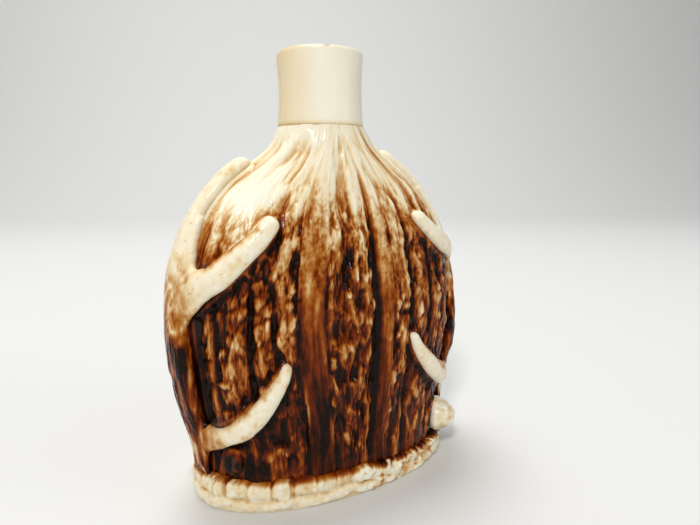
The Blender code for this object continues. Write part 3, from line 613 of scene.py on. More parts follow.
def all_webs():
    """The webs, back roots and feet that join each antler's horns, by the antler's side."""
    forms = (
        ("left_front_upper_web", LEFT_UPPER_WEB_SHARES, WEB_SIZES),
        ("left_front_brow_web", LEFT_BROW_WEB_SHARES, WEB_SIZES),
        ("left_back_upper_web", RIGHT_UPPER_WEB_SHARES, WEB_SIZES),
        ("left_back_brow_web", RIGHT_BACK_WEB_SHARES, WEB_SIZES),
        ("left_back_root", RIGHT_BACK_ROOT_SHARES, ROOT_SIZES),
        ("left_foot", BEAM_FOOT_SHARES, FOOT_SIZES),
        ("right_back_upper_web", LEFT_UPPER_WEB_SHARES, WEB_SIZES),
        ("right_back_brow_web", LEFT_BACK_WEB_SHARES, WEB_SIZES),
        ("right_back_root", LEFT_BACK_ROOT_SHARES, ROOT_SIZES),
        ("right_front_upper_web", RIGHT_UPPER_WEB_SHARES, WEB_SIZES),
        ("right_front_brow_web", RIGHT_BROW_WEB_SHARES, WEB_SIZES),
        ("right_foot", mirrored(BEAM_FOOT_SHARES), FOOT_SIZES),
    )
    webs = {"left": [], "right": []}
    for name, path_shares, sizes in forms:
        face = -1 if "back" in name else 1
        webs[name.split("_")[0]].append(Horn(name, path_shares, sizes, face, steps=WEB_STEPS))
    return webs


HORNS = all_horns()
WEBS = all_webs()
TUBE_SIDES = 32
SLIM_HORNS = ("right_front_upper_tine", "left_back_upper_tine")
SLIM_SHARE = 0.86
# How much a tine flares near its root, where and over what length
FLARE, FLARE_PLACE, FLARE_REACH = 0.28, 7.0, 4.0
# How much of its rise a tine loses at its root, and over what length
ROOT_SINK, ROOT_SINK_REACH = 0.60, 8.0
# The beams' last stretch narrows a little
BEAM_TIP_START, BEAM_TIP_LOSS = 0.84, 0.20
# Part of a horn's rise that is half its section's height; the rest lies in the skin
SECTION_SHARE = 0.60
LEAST_END = 0.03


def horn_tube(horn):
    """Rings of a horn as a bar, oval in section, pressed into the skin, with round ends."""
    angles = np.linspace(0.0, math.tau, TUBE_SIDES, endpoint=False)
    from_root = horn.share * horn.length
    flare = 1.0 if "tine" in horn.name else 0.0
    swell = FLARE * flare * bell(from_root, FLARE_PLACE, FLARE_REACH)
    half_width = horn.size[:, 0] / 2 * (1.0 + swell)
    sink = ROOT_SINK * flare * bell(from_root, 0.0, ROOT_SINK_REACH)
    rise = horn.size[:, 1] * (1.0 - sink)
    from_tip = (1.0 - horn.share) * horn.length
    reach = np.minimum(horn.size[:, 0] / 2, 0.45 * horn.length)
    end = rounded(from_tip / reach)
    if "knob" in horn.name or "web" in horn.name:
        end *= rounded(from_root / reach)
    end = np.maximum(end, LEAST_END)
    half_height = rise * SECTION_SHARE * end
    middle = rise * end - half_height
    if horn.name in SLIM_HORNS:
        half_width = half_width * SLIM_SHARE
    if "beam" in horn.name:
        loss = BEAM_TIP_LOSS * smooth_step(BEAM_TIP_START, 1.0, horn.share)
        half_width = half_width * (1.0 - loss)
    sideways = np.cos(angles) * half_width[:, None] * end[:, None]
    outward = middle[:, None] + np.sin(angles) * half_height[:, None]
    return (
        horn.foot[:, None]
        + horn.side[:, None] * sideways[..., None]
        + horn.normal[:, None] * outward[..., None]
    )


def grid_faces(rows, columns, wrap_columns=False, wrap_rows=False):
    """Quads over a grid of points numbered row by row."""
    index = np.arange(rows * columns).reshape(rows, columns)
    if wrap_columns:
        index = np.concatenate((index, index[:, :1]), axis=1)
    if wrap_rows:
        index = np.concatenate((index, index[:1]))
    corners = (index[:-1, :-1], index[:-1, 1:], index[1:, 1:], index[1:, :-1])
    return np.stack(corners, -1).reshape(-1, 4)


def tube_faces(count, start=0):
    """Faces of a bar of so many rings with flat ends, its points numbered from the start."""
    first = np.arange(TUBE_SIDES) + start
    last = first + (count - 1) * TUBE_SIDES
    sides = grid_faces(count, TUBE_SIDES, wrap_columns=True) + start
    return sides.tolist() + [first[::-1].tolist(), last.tolist()]


def placed(name, data):
    """A new object in the scene."""
    item = bpy.data.objects.new(name, data)
    bpy.context.scene.collection.objects.link(item)
    return item


def new_piece(name, points, faces, material):
    """A mesh object from points in millimetres, with its faces turned outward."""
    mesh = bpy.data.meshes.new(name)
    mesh.from_pydata((np.asarray(points) * MM).tolist(), [], faces)
    mesh.update()
    mesh.shade_smooth()
    mesh.materials.append(material)
    item = placed(name, mesh)
    form = bmesh.new()
    form.from_mesh(mesh)
    bmesh.ops.recalc_face_normals(form, faces=form.faces)
    form.to_mesh(mesh)
    form.free()
    return item


def dye(item, stain, pool=0.0):
    """Stores each point's brown stain, with painted shade and light in it on some pieces, and its
    dark grey gathered glaze with a painted sheen.
    """
    count = len(item.data.vertices)
    for name, values in (("stain", np.clip(stain, 0.0, 1.0)), ("pool", pool)):
        attribute = item.data.attributes.new(name, "FLOAT", "POINT")
        values = np.broadcast_to(np.asarray(values, np.float32).ravel(), count)
        attribute.data.foreach_set("value", np.ascontiguousarray(values))


def hold(item, slot, *nodes):
    """The piece rides on the flask and stands for these nodes, which are hidden; the slot is not
    used.
    """
    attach(item, BODY)
    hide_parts(*nodes)


def horn_gap(points, names):
    """Gap to the nearest horn's side; share along it, its number and the height over it."""
    count = len(points)
    gap, share, over = np.full(count, 99.0), np.zeros(count), np.zeros(count)
    which = np.zeros(count, int)
    for number, name in enumerate(names):
        horn = HORNS[name]
        last = len(horn.foot) - 1.0
        step = horn.length / last
        picks = np.arange(0, len(horn.foot), 4)
        index = np.zeros(count)
        for start in range(0, count, 20000):
            part = slice(start, start + 20000)
            away = points[part, None] - horn.foot[picks][None]
            distance = np.sqrt((away ** 2).sum(axis=2)) - horn.size[picks, 0] / 2
            index[part] = picks[distance.argmin(axis=1)]
        for _ in range(3):
            away = points - horn.at(horn.foot, index)
            index += np.einsum("ij,ij->i", away, horn.at(horn.ahead, index)) / step
            index = np.clip(index, 0.0, last)
        away = points - horn.at(horn.foot, index)
        side = horn.at(horn.side, index)
        half = horn.at(horn.size, index)[:, 0] / 2
        distance = np.linalg.norm(away, axis=1) - half * rounded((last - index) * step / half)
        closer = distance < gap
        gap = np.where(closer, distance, gap)
        share = np.where(closer, index / last, share)
        which = np.where(closer, number, which)
        over = np.where(closer, np.einsum("ij,ij->i", away, side) * side[:, 2], over)
    return gap, share, which, over


def face_turns():
    """Turns from seam to seam at even distances round the belly, one for each column."""
    fine = np.linspace(0.0, 0.5, 4000)
    along = travelled(skin(fine, BELLY_HEIGHT))
    return np.interp(np.linspace(0.0, along[-1], SHELL_COLUMNS), along, fine)


# Stain of the plain surface at each height, and how far crests and beds depart from it.
# It grows towards the foot, partly the glaze running from cream to brown and partly painted shade
# for the lower body's weaker light.
STAIN_HEIGHTS = (5.0, 14.0, 30.0, 48.0, 60.0, 70.0, 78.0, 86.0, 94.0, 102.0, 108.5)
STAIN_AND_SHADE_BY_HEIGHT = (0.72, 0.70, 0.68, 0.61, 0.54, 0.42, 0.27, 0.12, 0.06, 0.04, 0.04)
STAIN_REACH = (1.0, 1.2, 1.3, 1.3, 1.25, 1.15, 0.95, 0.60, 0.45, 0.35, 0.3)
CREST_REACH = (0.7, 0.8, 0.85, 0.85, 0.85, 0.9, 0.9, 0.9, 0.9, 0.9, 0.9)

# Strokes of stronger or weaker stain on a face, two with painted shade under a tine: place,
# height, half width, half height, amount
STAIN_MARKS = (
    (0.665, 101, 1.6, 7, 0.8), (0.600, 104, 1.2, 5, 0.5), (0.500, 97, 4.5, 9, 0.15),
    (0.340, 98, 2.2, 6, 0.15), (0.430, 95, 2.6, 8, 0.10), (0.640, 96, 2.6, 7, 0.26),
    (0.700, 91, 3, 8, 0.30), (0.765, 86, 3, 8, 0.28), (0.595, 90, 2, 7, 0.12),
    (0.400, 76, 2.2, 9, 0.25), (0.425, 68, 3.5, 12, -0.25), (0.428, 84, 2.6, 4, 0.18),
    (0.398, 66, 1.4, 9, 0.22), (0.455, 75, 1.2, 6, -0.35), (0.415, 62, 1.6, 4, -0.25),
    (0.440, 57, 1.4, 5, -0.20), (0.408, 48, 1.2, 7, 0.20), (0.484, 43.5, 1.6, 2.2, -0.35),
    (0.425, 26, 8, 14, 0.22), (0.153, 49, 2.2, 10, -0.12), (0.158, 32, 2, 9, -0.14),
    # The strokes at places 0.700 and 0.790 add painted shade under the right upper tine to its
    # dark glaze.
    (0.240, 58, 5, 8, 0.20), (0.700, 66, 5, 5, 0.45), (0.790, 62, 5, 4, 0.35),
    (0.547, 67, 1.8, 10, -0.40), (0.596, 63, 1.4, 9, -0.30), (0.650, 56, 1.6, 11, -0.40),
    (0.710, 50, 2, 9, -0.35), (0.600, 44, 1.5, 9, -0.25), (0.660, 20, 7, 9, -0.22),
    (0.530, 36, 1, 32, 0.55), (0.285, 38, 0.9, 16, 0.45), (0.172, 46, 1, 14, 0.40),
    (0.618, 58, 0.8, 10, 0.40),
)


def shell_stain(place, z, seed, lift, beads, groove):
    """How much brown stain the glaze holds, with painted shade towards the foot: little on the
    crests, much in the beds.
    """
    across = arc_to(place)
    field = face_field(seed, across, z)
    hollow = blurred(lift, 7.0, 10.0) - lift
    fine_hollow = blurred(lift, 2.5, 3.6) - lift
    edge = blurred(lift, 1.1, 1.5) - lift
    web = web_of(place, z)
    busy = 1.0 - 0.8 * web
    low = smooth_step(98.0, 80.0, z)
    drift = field(60, 3, 9.0, 13.0) - 0.5
    streak = field(64, 3, 1.6, 18.0) - 0.5
    mottle = field(68, 3, 1.5, 2.2) - 0.5
    speck = field(72, 2, 0.7, 0.8) - 0.5
    blot = smooth_step(0.56, 0.78, field(76, 2, 2.6, 6.5))
    ochre = smooth_step(0.50, 0.75, field(80, 2, 3.6, 15.0))
    fibre = field(84, 2, 0.9, 9.0) - 0.5
    pit = low * blot * smooth_step(0.45, 0.05, beads)
    foot = smooth_step(34.0, 20.0, z)
    plain = smooth_step(0.9, 0.1, beads + groove)

    depth = 0.16 * low + 0.50 * hollow + 0.62 * fine_hollow + 0.9 * edge
    depth += 0.36 * groove
    depth += 0.26 * pit
    depth += (
        (0.18 + 0.45 * web) * drift
        - 0.18 * web * smooth_step(70.0, 86.0, z)
        + (0.02 + 0.26 * low * busy + 0.8 * foot) * streak
    )
    depth += (0.10 + 0.14 * low) * mottle + 0.18 * low * speck
    depth += 0.9 * plain * smooth_step(64.0, 40.0, z) * streak
    depth += (
        0.55 * plain * smooth_step(58.0, 68.0, z) * smooth_step(96.0, 84.0, z) * busy * speck
    )
    depth += (
        (0.14 + 0.14 * plain) * low * busy * fibre
        - 0.36 * beads
        + 0.10 * (1.0 - low) * ochre
    )
    for mark_place, mark_z, half_width, half_height, amount in STAIN_MARKS:
        sideways = (across - arc_to(mark_place)) / half_width
        depth += amount * np.exp(-sideways ** 2 - ((z - mark_z) / half_height) ** 2)
    # Painted shade: the plain stain darkens towards the foot, partly the glaze's own colour and
    # partly the lower body's weaker light.
    base = np.interp(z, STAIN_HEIGHTS, STAIN_AND_SHADE_BY_HEIGHT) * (1.0 - 0.88 * web)
    darker = np.interp(z, STAIN_HEIGHTS, STAIN_REACH) * (1.0 - base)
    paler = np.interp(z, STAIN_HEIGHTS, CREST_REACH) * base
    darker = darker * np.minimum(depth, 1.0)
    paler = paler * np.tanh(1.3 * depth)
    return base + np.where(depth > 0.0, darker, paler)


INNER_ROWS = 14
INNER_STAIN = 0.35


def inner_wall(turned):
    """The smooth inside of a half shell, one wall inward of the skin."""
    levels = np.linspace(BODY_BOTTOM, SHOULDER_TOP, INNER_ROWS)
    turn, z = np.meshgrid(face_turns(), levels)
    half_width, half_depth, exponent = half_sizes(z)
    half_width, half_depth = [
        np.maximum(half - WALL, BORE_DIAMETER / 2) for half in (half_width, half_depth)]
    x, y = oval(turn, half_width, half_depth, exponent)
    return np.stack((x, y, z), axis=-1) * turned


def shell_faces():
    """Faces of a half shell's outside, its inside, its two rims and its flat seam edges."""
    outer = np.arange(SHELL_ROWS * SHELL_COLUMNS).reshape(SHELL_ROWS, SHELL_COLUMNS)
    inner = np.arange(INNER_ROWS * SHELL_COLUMNS).reshape(INNER_ROWS, SHELL_COLUMNS) + outer.size
    faces = grid_faces(*outer.shape).tolist()
    faces += (grid_faces(*inner.shape) + outer.size)[:, ::-1].tolist()
    for row, order in ((0, -1), (-1, 1)):
        edge, back = outer[row], inner[row]
        quads = np.stack((edge[:-1], edge[1:], back[1:], back[:-1]), -1)
        faces += quads[:, ::order].tolist()
    for side, order in ((0, 1), (-1, -1)):
        loop = np.concatenate((outer[:, side], inner[::-1, side]))
        faces.append(loop[::order].tolist())
    return faces


# The two halves: name, node, the side that they face and the seed of their grain
SHELLS = (
    ("front_half", "front_shell", 1, 11),
    ("back_half", "back_shell", -1, 111),
)


# The clay fillet along the horns, and the stain beside them with painted shade under their lower
# sides
FILLET_HEIGHT, FILLET_REACH = 0.5, 0.7
CROOK_REACH = 1.5


def half_shell(name, node, face, seed, material):
    """One moulded half: the fine grained outside, a plain inside and flat seam edges."""
    profile = OUTLINE[OUTLINE[:, 2] >= BODY_BOTTOM]
    levels = even_points(profile, SHELL_ROWS)[:, 2]
    turn, z = np.meshgrid(face_turns(), levels)
    place = turn * 2.0
    smooth = skin(turn, z)
    turned = np.array((face, face, 1))
    around = (smooth * turned).reshape(-1, 3)
    names = [key for key in HORNS if ("back" if face < 0 else "front") in key or "beam" in key]
    gap, share, _, over = [part.reshape(z.shape) for part in horn_gap(around, names)]
    beam_gap, tine_gap = [
        horn_gap(around, [key for key in names if kind in key])[0].reshape(z.shape)
        for kind in ("beam", "tine")
    ]
    lift, beads, groove = horn_grain(place, z, seed)
    calm = smooth_step(1.2, -0.4, gap)
    fillet = np.exp(-np.clip(gap, 0.0, None) / FILLET_REACH) * smooth_step(1.02, 0.85, share)
    lift = lift * (1.0 - 0.85 * calm) + FILLET_HEIGHT * fillet
    lift *= np.interp(z, (6.0, 11.0), (0.0, 1.0))

    stain = shell_stain(place, z, seed, lift, beads, groove)
    # Stain gathered beside the horns with painted shade: much darker under a horn's lower side,
    # where shade falls, and weaker on the right part of a face.
    crook_stain_and_shade = np.exp(-np.clip(gap, 0.0, None) / CROOK_REACH)
    shade = 0.34 - 0.26 * smooth_step(-1.5, 1.5, over) - 0.10 * smooth_step(0.55, 0.65, place)
    stain += crook_stain_and_shade * shade * smooth_step(104.0, 84.0, z) * (1.0 - 0.8 * web_of(place, z))
    # Grey glaze gathered in the crooks above the left horns, partly a painted grey-blue sheen on
    # their upper sides.
    pool = smooth_step(8.0, 2.5, np.clip(beam_gap, 0, None) + np.clip(tine_gap, 0, None))
    pool = 0.75 * pool * smooth_step(0.0, 2.0, over) * (place < 0.5)

    outer = (smooth + skin_normal(turn, z) * lift[..., None]) * turned
    inner = inner_wall(turned)
    for wall in (outer, inner):
        wall[:, (0, -1), 1] = 0.0
    points = np.vstack((outer.reshape(-1, 3), inner.reshape(-1, 3)))
    item = new_piece(name, points, shell_faces(), material)
    inside = np.full(INNER_ROWS * SHELL_COLUMNS, INNER_STAIN)
    stain = np.concatenate((stain.ravel(), inside))
    dye(item, stain, np.concatenate((pool.ravel(), np.zeros_like(inside))))
    hold(item, "horn_glaze", node)


def read_rows(items, name, kind=np.float32, width=3):
    """One property of every vertex or edge, a row each."""
    values = np.zeros(len(items) * width, kind)
    items.foreach_get(name, values)
    return values.reshape(-1, width)


def move_points(item, place):
    item.data.vertices.foreach_set("co", (place * MM).ravel())
    item.data.update()


def relaxed(place, edges, rounds, weight, regain=0.0):
    """Points drawn towards the middle of their neighbours, and part of the way back."""
    weight = np.broadcast_to(np.asarray(weight, float), len(place))[:, None]
    count = np.bincount(edges.ravel(), minlength=len(place))[:, None]
    for _ in range(rounds):
        for step in (0.5, -regain):
            total = np.zeros_like(place)
            for axis in range(3):
                total[:, axis] = (
                    np.bincount(edges[:, 0], place[edges[:, 1], axis], len(place))
                    + np.bincount(edges[:, 1], place[edges[:, 0], axis], len(place))
                )
            place = place + step * weight * (total / count - place)
    return place


def relaxed_near(place, edges, rounds, weight):
    """The same smoothing, worked out only where the weight is above zero."""
    near = np.flatnonzero(weight > 0.0)
    number = np.full(len(place), -1)
    number[near] = np.arange(len(near))
    inner = number[edges]
    inner = inner[(inner >= 0).all(axis=1)]
    place = place.copy()
    place[near] = relaxed(place[near], inner, rounds, weight[near])
    return place


ANTLER_VOXEL = 0.28
# Rounds of smoothing all over, how far each goes back, and rounds more at the forks
SMOOTH_ROUNDS = 14
SMOOTH_REGAIN = 0.52
FORK_ROUNDS = 400
# Distance of a fork's middle along its tine
FORK_REACH = 8.0


def antler(name, horn_names, material):
    """Beam and tines run together like one bar of clay, with soft forks."""
    points, faces = [], []
    for horn in [HORNS[key] for key in horn_names] + WEBS[name.split("_")[0]]:
        rings = horn_tube(horn)
        faces += tube_faces(len(rings), sum(len(part) for part in points))
        points.append(rings.reshape(-1, 3))
    item = new_piece(name, np.vstack(points), faces, material)
    remesh = item.modifiers.new("remesh", "REMESH")
    remesh.mode = "VOXEL"
    remesh.voxel_size = ANTLER_VOXEL * MM
    remesh.use_smooth_shade = True
    depsgraph = bpy.context.evaluated_depsgraph_get()
    evaluated = bpy.data.meshes.new_from_object(item.evaluated_get(depsgraph))
    item.modifiers.clear()
    item.data = evaluated
    item.data.shade_smooth()
    place = read_rows(item.data.vertices, "co").astype(float) / MM
    edges = read_rows(item.data.edges, "vertices", np.int32, 2)
    place = relaxed(place, edges, SMOOTH_ROUNDS, 1.0, regain=SMOOTH_REGAIN)
    _, share, which, over = horn_gap(place, horn_names)
    near_fork = np.zeros(len(place))
    for key in horn_names[1:]:
        horn = HORNS[key]
        fork = horn.foot[int(FORK_REACH / horn.length * len(horn.foot))]
        away = np.linalg.norm(place - fork, axis=1)
        near_fork = np.maximum(near_fork, smooth_step(12.0, 5.0, away))
    place = relaxed_near(place, edges, FORK_ROUNDS, near_fork)

    from_root = share * np.array([HORNS[key].length for key in horn_names])[which]
    move_points(item, place)
    normal = read_rows(item.data.vertices, "normal").astype(float)
    wave = point_noise(311, 3, place, 3.4)
    furrow = point_noise(331, 3, place, (1.3, 1.3, 9.0))
    browned = smooth_step(60.0, 46.0, place[:, 2]) * ((which == 0) | (from_root < 6.0))
    lift = 0.30 * wave + browned * 1.1 * furrow
    place = place + normal * lift[:, None]
    move_points(item, place)
    half = np.zeros(len(place))
    for number, key in enumerate(horn_names):
        own = which == number
        half[own] = np.interp(share[own], HORNS[key].share, HORNS[key].size[:, 0] / 2)
    dye(item, antler_stain(place, which, from_root, over / half, furrow))
    item.data.materials.clear()
    item.data.materials.append(material)
    hold(item, "antler_glaze", *horn_names)


BROW_ROOT_HEIGHT = 19.0


def antler_stain(place, which, from_root, over, furrow):
    """Stain of an antler: cream, brown on the lower beam, tan along the tines' upper edges."""
    z = place[:, 2]
    from_seam = np.abs(place[:, 1])
    out = np.where(which == 0, 0.0, smooth_step(1.0, 11.0, from_root))
    mottle = point_noise(401, 3, place, 4.0)
    fine = point_noise(405, 3, place, 1.3)
    freckle = point_noise(415, 3, place, (1.2, 1.2, 2.4))
    lower = smooth_step(57.0, 45.0, z + 12.0 * mottle)
    flank = smooth_step(2.0, 6.0, from_seam)
    turning = smooth_step(34.0, 46.0, z) * smooth_step(74.0, 58.0, z)
    beam_stain = 0.05 + 0.20 * smooth_step(76.0, 58.0, z + 14.0 * mottle) + 0.9 * turning * freckle
    beam_stain = beam_stain + lower * (0.36 + 0.26 * flank + 1.9 * furrow)
    root = bell(z, BROW_ROOT_HEIGHT, 5.5) * smooth_step(0.5, -3.0, z - BROW_ROOT_HEIGHT - 8.0)
    root = root * (0.56 + 1.0 * mottle + 0.6 * furrow)
    beam_stain = beam_stain - root * (0.4 + 0.6 * smooth_step(0.0, 3.0, from_seam))
    tine_stain = 0.04 + 0.26 * smooth_step(16.0, 5.0, from_root) * (0.7 + 2.0 * mottle)
    edge = smooth_step(0.25, 0.95, over + 0.8 * mottle)
    tine_stain = tine_stain + 0.34 * edge * smooth_step(12.0, 20.0, from_root)
    stain = beam_stain + out * (tine_stain - beam_stain)
    stain += 0.10 * smooth_step(0.05, 0.28, mottle) + 0.10 * fine
    stain += 0.10 * smooth_step(0.72, 0.84, rough_noise(411, 2, *(place / 0.8).T))
    return stain


# Each knob's seed and how brown it is
KNOBS = (
    ("left_front_burr_knob", 701, 0.9),
    ("right_front_burr_knob", 703, 0.0),
    ("left_back_burr_knob", 705, 0.0),
    ("right_back_burr_knob", 707, 0.9),
)


def burr_knob(name, material, seed, brown):
    """An almond-shaped lump with a few upright creases."""
    rings = horn_tube(HORNS[name])
    points = rings.reshape(-1, 3)
    outward = points - points.mean(axis=0)
    outward = outward / np.linalg.norm(outward, axis=1, keepdims=True)
    lump = point_noise(seed, 2, points, (2.0, 2.0, 5.0))
    fine = point_noise(seed + 5, 2, points, 1.4)
    swell = np.minimum((1.5 + 1.5 * brown) * lump + 0.3 * fine - 0.1 - 0.3 * brown, 0.3)
    points = points + outward * swell[:, None]
    item = new_piece(name + "_look", points, tube_faces(len(rings)), material)
    # A little grey gathered glaze with painted sheen on the brown knobs.
    dye(item, 0.05 + 0.84 * brown - (0.3 + 1.4 * brown) * lump + 0.3 * fine, 0.08 * brown)
    hold(item, "antler_glaze", name)


CORONET_TURNS = 900
CORONET_STEPS = 64


def uneven_cells(along, lap, pitch, seed):
    """Cells of uneven width round a lap: each place's cell, the share across it and its width."""
    count = round(lap / pitch)
    widths = 0.60 + 0.8 * lattice(seed, np.arange(count))
    edges = np.concatenate(([0.0], np.cumsum(widths / widths.sum()))) * lap
    number = np.clip(np.searchsorted(edges, along, side="right") - 1, 0, count - 1)
    width = edges[number + 1] - edges[number]
    return number, (along - edges[number]) / width, width


# The tall lump of the foot ring's front, near its middle
PEAK_X = 2.0
PEAK_WIDTH = 2.6
PEAK_HEIGHT = 1.3
# How far a lump may stand out over the ring's rim
OUTWARD_SPARE = 0.08
CREASE_WIDTH = 0.45
# Cells of the ring's pearls, low lumps and rolls: their pitch and seed
PEARL_CELLS = (5.3, 501)
LOW_CELLS = (7.4, 561)
ROLL_CELLS = (11.0, 551)
# The ring's plain section from inside the foot to its crown: depth behind the rim, height
CORONET_SECTION = (
    (5.6, 0.0), (1.4, 0.0), (0.45, 0.7), (0.15, 1.8), (0.35, 2.8), (0.75, 3.45),
    (0.65, 4.2), (0.35, 5.4), (0.45, 6.8), (0.95, 8.0), (2.0, 8.7), (4.2, 9.2),
)
# Height of that section's waist, depth and height of its crown, depth of its foot
SECTION_WAIST = 3.45
SECTION_INSIDE, SECTION_TOP = 4.2, 9.2
SECTION_FOOT = 5.6


def coronet(material):
    """The two-tiered ring at the foot: lumpy pearls over a smooth wavy band."""
    turn = np.linspace(0.0, 1.0, CORONET_TURNS, endpoint=False)
    x, y = oval(turn, CORONET_WIDTH / 2, CORONET_DEPTH / 2, 2.0 + CORONET_SQUARENESS)
    rim = np.stack((x, y, np.zeros_like(x)), axis=-1)
    around = travelled(np.vstack((rim, rim[:1])))
    lap = around[-1]
    along = around[:-1]
    back = skin(turn, BODY_BOTTOM)
    inward = back - rim
    inward[:, 2] = 0.0
    thickness = np.linalg.norm(inward, axis=1)
    inward /= thickness[:, None]

    number, local, width = uneven_cells(along, lap, *PEARL_CELLS)
    own = lattice(503, number)
    square = 1.0 - np.abs(2.0 * local - 1.0) ** 6
    rugged = smooth_step(-4.0, 6.0, x)
    crease = bell(np.minimum(local, 1 - local) * width, 0.0, CREASE_WIDTH)
    crease *= 0.1 + 0.7 * lattice(507, number)
    crease *= 1.0 - 0.8 * rugged
    peak = bell(x, PEAK_X, PEAK_WIDTH) * (y < 0.0)
    ragged = rough_noise(541, 3, *(rim[:, :2] / 1.6).T) - 0.5
    jag = (1.0 - 0.5 * rugged) * own * square - 0.2 * crease + 2.0 * ragged + PEAK_HEIGHT * peak
    low_number, low_local, _ = uneven_cells(along, lap, *LOW_CELLS)
    low_lump = (1.0 - np.abs(2.0 * low_local - 1.0) ** 4) * (lattice(563, low_number) - 0.3)
    roll_number, roll_local, _ = uneven_cells(along, lap, *ROLL_CELLS)
    roll = np.sin(math.pi * roll_local) * (lattice(553, roll_number) - 0.25)
    worn = smooth_step(4.0, 16.0, x) * (y < 0.0)
    wave = np.sin(along / lap * math.tau * 5 + 1.0) + 0.6 * np.sin(along / lap * math.tau * 13)
    top = coronet_top(turn) + jag
    waist_z = top * 0.40 + 0.35 * wave + 0.5 * roll + 0.6 * (own - 0.5) * square

    rings, stains, spare = [], [], []
    for depth, height in even_points(through_points(CORONET_SECTION, 12), CORONET_STEPS):
        tier = smooth_step(3.2, 4.4, height)
        band = smooth_step(0.4, 1.6, height) * (1.0 - tier)
        upper_share = (height - SECTION_WAIST) / (SECTION_TOP - SECTION_WAIST)
        z = np.where(height > SECTION_WAIST,
                     waist_z + upper_share * (top - waist_z),
                     height / SECTION_WAIST * waist_z)
        push = tier * (0.45 * square * (own - 0.2) - 0.30 * crease * smooth_step(9.2, 6.5, height))
        push += tier * 0.5 * peak
        wear = 0.35 * worn * bell(height, SECTION_WAIST, 0.8)
        push += band * (0.6 * roll + 0.5 * low_lump) + wear
        position = np.maximum(depth - push, 0.0)
        scale = np.maximum(thickness * 0.98 / SECTION_INSIDE, 0.3)
        position = np.where(height > 5.4, 0.35 + (position - 0.35) * scale, position)
        spare.append(position + OUTWARD_SPARE)
        point = rim + inward * position[:, None]
        point[:, 2] = np.maximum(z, 0.0)
        rings.append(point)
        waist = bell(height, SECTION_WAIST, 0.5) * (0.3 + 0.7 * np.sin(along / 4.0) ** 2)
        waist *= 1 - 0.6 * worn
        brown = smooth_step(-1.9, 0.3, z - top + (3.0 + 1.8 * rugged) * ragged + 0.5 * crease)
        brown *= 0.58 + 0.22 * rugged
        down = crease * tier * 0.16
        amber = 0.5 * tier * square * np.maximum(own - 0.3, 0.0)
        amber *= np.clip(0.2 + 2.0 * ragged, 0.0, 0.6)
        stains.append(0.06 + 0.10 * waist + brown + down + amber)
    inner = rim + inward * SECTION_FOOT
    inner[:, 2] = SLAB_RECESS
    for point in (back, inner):
        rings.append(point)
        spare.append(np.zeros(len(along)))
        stains.append(np.full(len(along), 0.1))
    points = np.array(rings)
    stain = np.array(stains)
    mottle = point_noise(521, 3, points, 3.0)
    fine = point_noise(531, 2, points, 1.1)
    outward = np.zeros_like(points)
    outward[:CORONET_STEPS] = -inward
    rough = smooth_step(-8.0, 10.0, points[..., 0])
    bulge = (1.9 + 1.9 * rough) * mottle + (0.15 + 0.30 * rough) * fine
    bulge = np.minimum(bulge, np.minimum(np.array(spare), 0.5))
    points = points + outward * bulge[..., None] * smooth_step(0.1, 0.8, points[..., 2:])
    stain = stain - (0.12 + 0.38 * rough) * mottle + (0.14 + 0.18 * rough) * fine
    stain += (0.06 + 0.20 * rough) * smooth_step(0.10, 0.3, point_noise(545, 3, points, 2.2))
    faces = grid_faces(len(points), CORONET_TURNS, wrap_columns=True, wrap_rows=True).tolist()
    item = new_piece("coronet", points.reshape(-1, 3), faces, material)
    dye(item, stain)
    hold(item, "coronet_glaze", "foot_coronet")


COLLAR_COLUMNS = 160
# The chip in the lip: its place round the collar, its width, its depth and its reach inward
CHIP_TURN = 0.207
CHIP_WIDTH = 0.8
CHIP_DEPTH = 0.45
CHIP_REACH = 1.6
COLLAR_WAVE = 0.35


